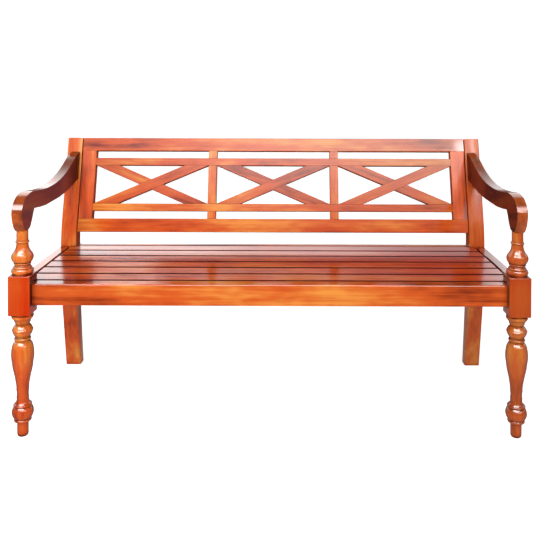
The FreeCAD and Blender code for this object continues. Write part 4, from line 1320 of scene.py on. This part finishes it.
def mirrored_room(tree, path):
    """Brightness of the room that the lacquer mirrors: a pale wall behind and a window in front."""
    studio = studio_settings()
    place = node(tree, "TexCoord")
    across = part(tree, place, "Generated", "X")
    back = part(tree, place, "Generated", "Y")
    up = part(tree, place, "Generated", "Z")
    left = ranged(tree, across, *WALL_LEFT_FADE, studio.wall_left, studio.wall_middle)
    right = ranged(tree, across, *WALL_RIGHT_FADE, 0, studio.wall_right - studio.wall_middle)
    corner = ranged(tree, across, *WALL_CORNER, 0, WALL_CORNER_LIFT)
    wall = math_node(tree, "ADD", math_node(tree, "ADD", left, right), corner)
    wall = product(tree, wall, ranged(tree, back, *WALL_BACK), ranged(tree, up, *WALL_FOOT),
                   ranged(tree, up, *WALL_HEAD))
    flare = product(tree, ranged(tree, up, *FLARE_FOOT, 0, FLARE),
                    ranged(tree, math_node(tree, "ABSOLUTE", across), *FLARE_WIDTH))
    wall = math_node(tree, "MULTIPLY_ADD", wall, flare, wall)
    window = product(tree, ranged(tree, back, *WINDOW_FRONT), ranged(tree, up, *WINDOW_FOOT),
                     ranged(tree, up, *WINDOW_HEAD),
                     ranged(tree, across, *WINDOW_LEFT, WINDOW_LEFT_SHARE, 1), studio.window)
    panel = product(tree, ranged(tree, back, *PANEL_FRONT), ranged(tree, up, *PANEL_FOOT),
                    ranged(tree, up, *PANEL_HEAD), ranged(tree, across, *PANEL_LEFT),
                    ranged(tree, across, *PANEL_RIGHT), studio.panel)
    first = math_node(tree, "LESS_THAN", path.outputs["Glossy Depth"], FIRST_MIRRORING)
    front = product(tree, math_node(tree, "ADD", window, panel), first)
    return math_node(tree, "ADD", math_node(tree, "ADD", wall, front), studio.room_sheen)


# The floor: its mottle, and how its painted reflection, a glow that only the lacquer mirrors, fades by
# depth behind and in front of the bench
MOTTLE = Layer(scale=1.4, detail=3, roughness=0.5)
MOTTLE_SHARE = 0.985
MOTTLE_SPAN = (0.3, 0.7)
PAPER_ROUGHNESS = (0.75, 0.85)
SHEEN_BEHIND = (0.7, 1.9)
SHEEN_BEHIND_SHARE = 0.1
SHEEN_IN_FRONT = (-1.2, -0.5)
SHEEN_IN_FRONT_SHARE = 0.15


def floor_paper():
    """Pale matt paper with a faint mottle, which the lacquer mirrors as a painted glow that fades behind
    and in front of the bench.
    """
    studio = studio_settings()
    material = bpy.data.materials.new("floor_paper")
    tree = emptied(material)
    place = node(tree, "TexCoord")
    mottle = noise(tree, place.outputs["Object"], MOTTLE)
    pale = tuple(studio.floor_colour)
    colour = blended(tree, mottle, pale, tuple(MOTTLE_SHARE * value for value in pale))
    rough = ranged(tree, mottle, *MOTTLE_SPAN, *PAPER_ROUGHNESS)
    paper = node(tree, "BsdfPrincipled", {"Base Color": colour, "Roughness": rough,
                                          "Specular IOR Level": 0.2})
    path = node(tree, "LightPath")
    lift = node(tree, "Emission", {
        "Color": WHITE, "Strength": product(tree, path.outputs["Is Camera Ray"], studio.floor_lift)})
    both = node(tree, "AddShader", {0: paper.outputs[0], 1: lift.outputs[0]})
    depth = part(tree, place, "Object", "Y")
    sheen = studio.floor_sheen
    behind = ranged(tree, depth, *SHEEN_BEHIND, sheen, SHEEN_BEHIND_SHARE * sheen)
    front = ranged(tree, depth, *SHEEN_IN_FRONT, SHEEN_IN_FRONT_SHARE, 1)
    # Painted reflection: for mirrored rays the floor is a glow, dimmer far behind and in front
    mirrored_glow = node(tree, "Emission", {"Color": WHITE, "Strength": product(tree, behind, front)})
    show(tree, chosen_shader(tree, path.outputs["Is Glossy Ray"], both, mirrored_glow))
    return material


STEPS = (BENCH_OT_studio, BENCH_OT_front_legs, BENCH_OT_arms, BENCH_OT_rear_posts, BENCH_OT_seat_frame,
         BENCH_OT_seat_slats, BENCH_OT_back_frame, BENCH_OT_back_braces, BENCH_OT_screws)


class BENCH_PT_pieces(bpy.types.Panel):
    """The bench's settings and pieces"""

    bl_idname = "BENCH_PT_pieces"
    bl_label = "Bench"
    bl_space_type = "VIEW_3D"
    bl_region_type = "UI"
    bl_category = "Bench"

    def draw(self, context):
        for step in STEPS:
            self.layout.operator(step.bl_idname)
        for settings in (finish_settings(), shape_settings(), studio_settings()):
            box = self.layout.box()
            for name in settings.__annotations__:
                box.prop(settings, name)


CLASSES = (BenchFinish, BenchShapes, BenchStudio) + STEPS + (BENCH_PT_pieces,)


def register():
    for listed in CLASSES:
        bpy.utils.register_class(listed)
    bpy.types.Scene.bench_finish = bpy.props.PointerProperty(type=BenchFinish)
    bpy.types.Scene.bench_shapes = bpy.props.PointerProperty(type=BenchShapes)
    bpy.types.Scene.bench_studio = bpy.props.PointerProperty(type=BenchStudio)


def unregister():
    del bpy.types.Scene.bench_studio
    del bpy.types.Scene.bench_shapes
    del bpy.types.Scene.bench_finish
    for listed in reversed(CLASSES):
        bpy.utils.unregister_class(listed)


def main():
    """Makes the whole bench."""
    register()
    bpy.ops.bench.studio()
    bpy.ops.bench.front_legs()
    bpy.ops.bench.arms()
    bpy.ops.bench.rear_posts()
    bpy.ops.bench.seat_frame()
    bpy.ops.bench.seat_slats()
    bpy.ops.bench.back_frame()
    bpy.ops.bench.back_braces()
    bpy.ops.bench.screws()


if __name__ == "__main__":
    main()
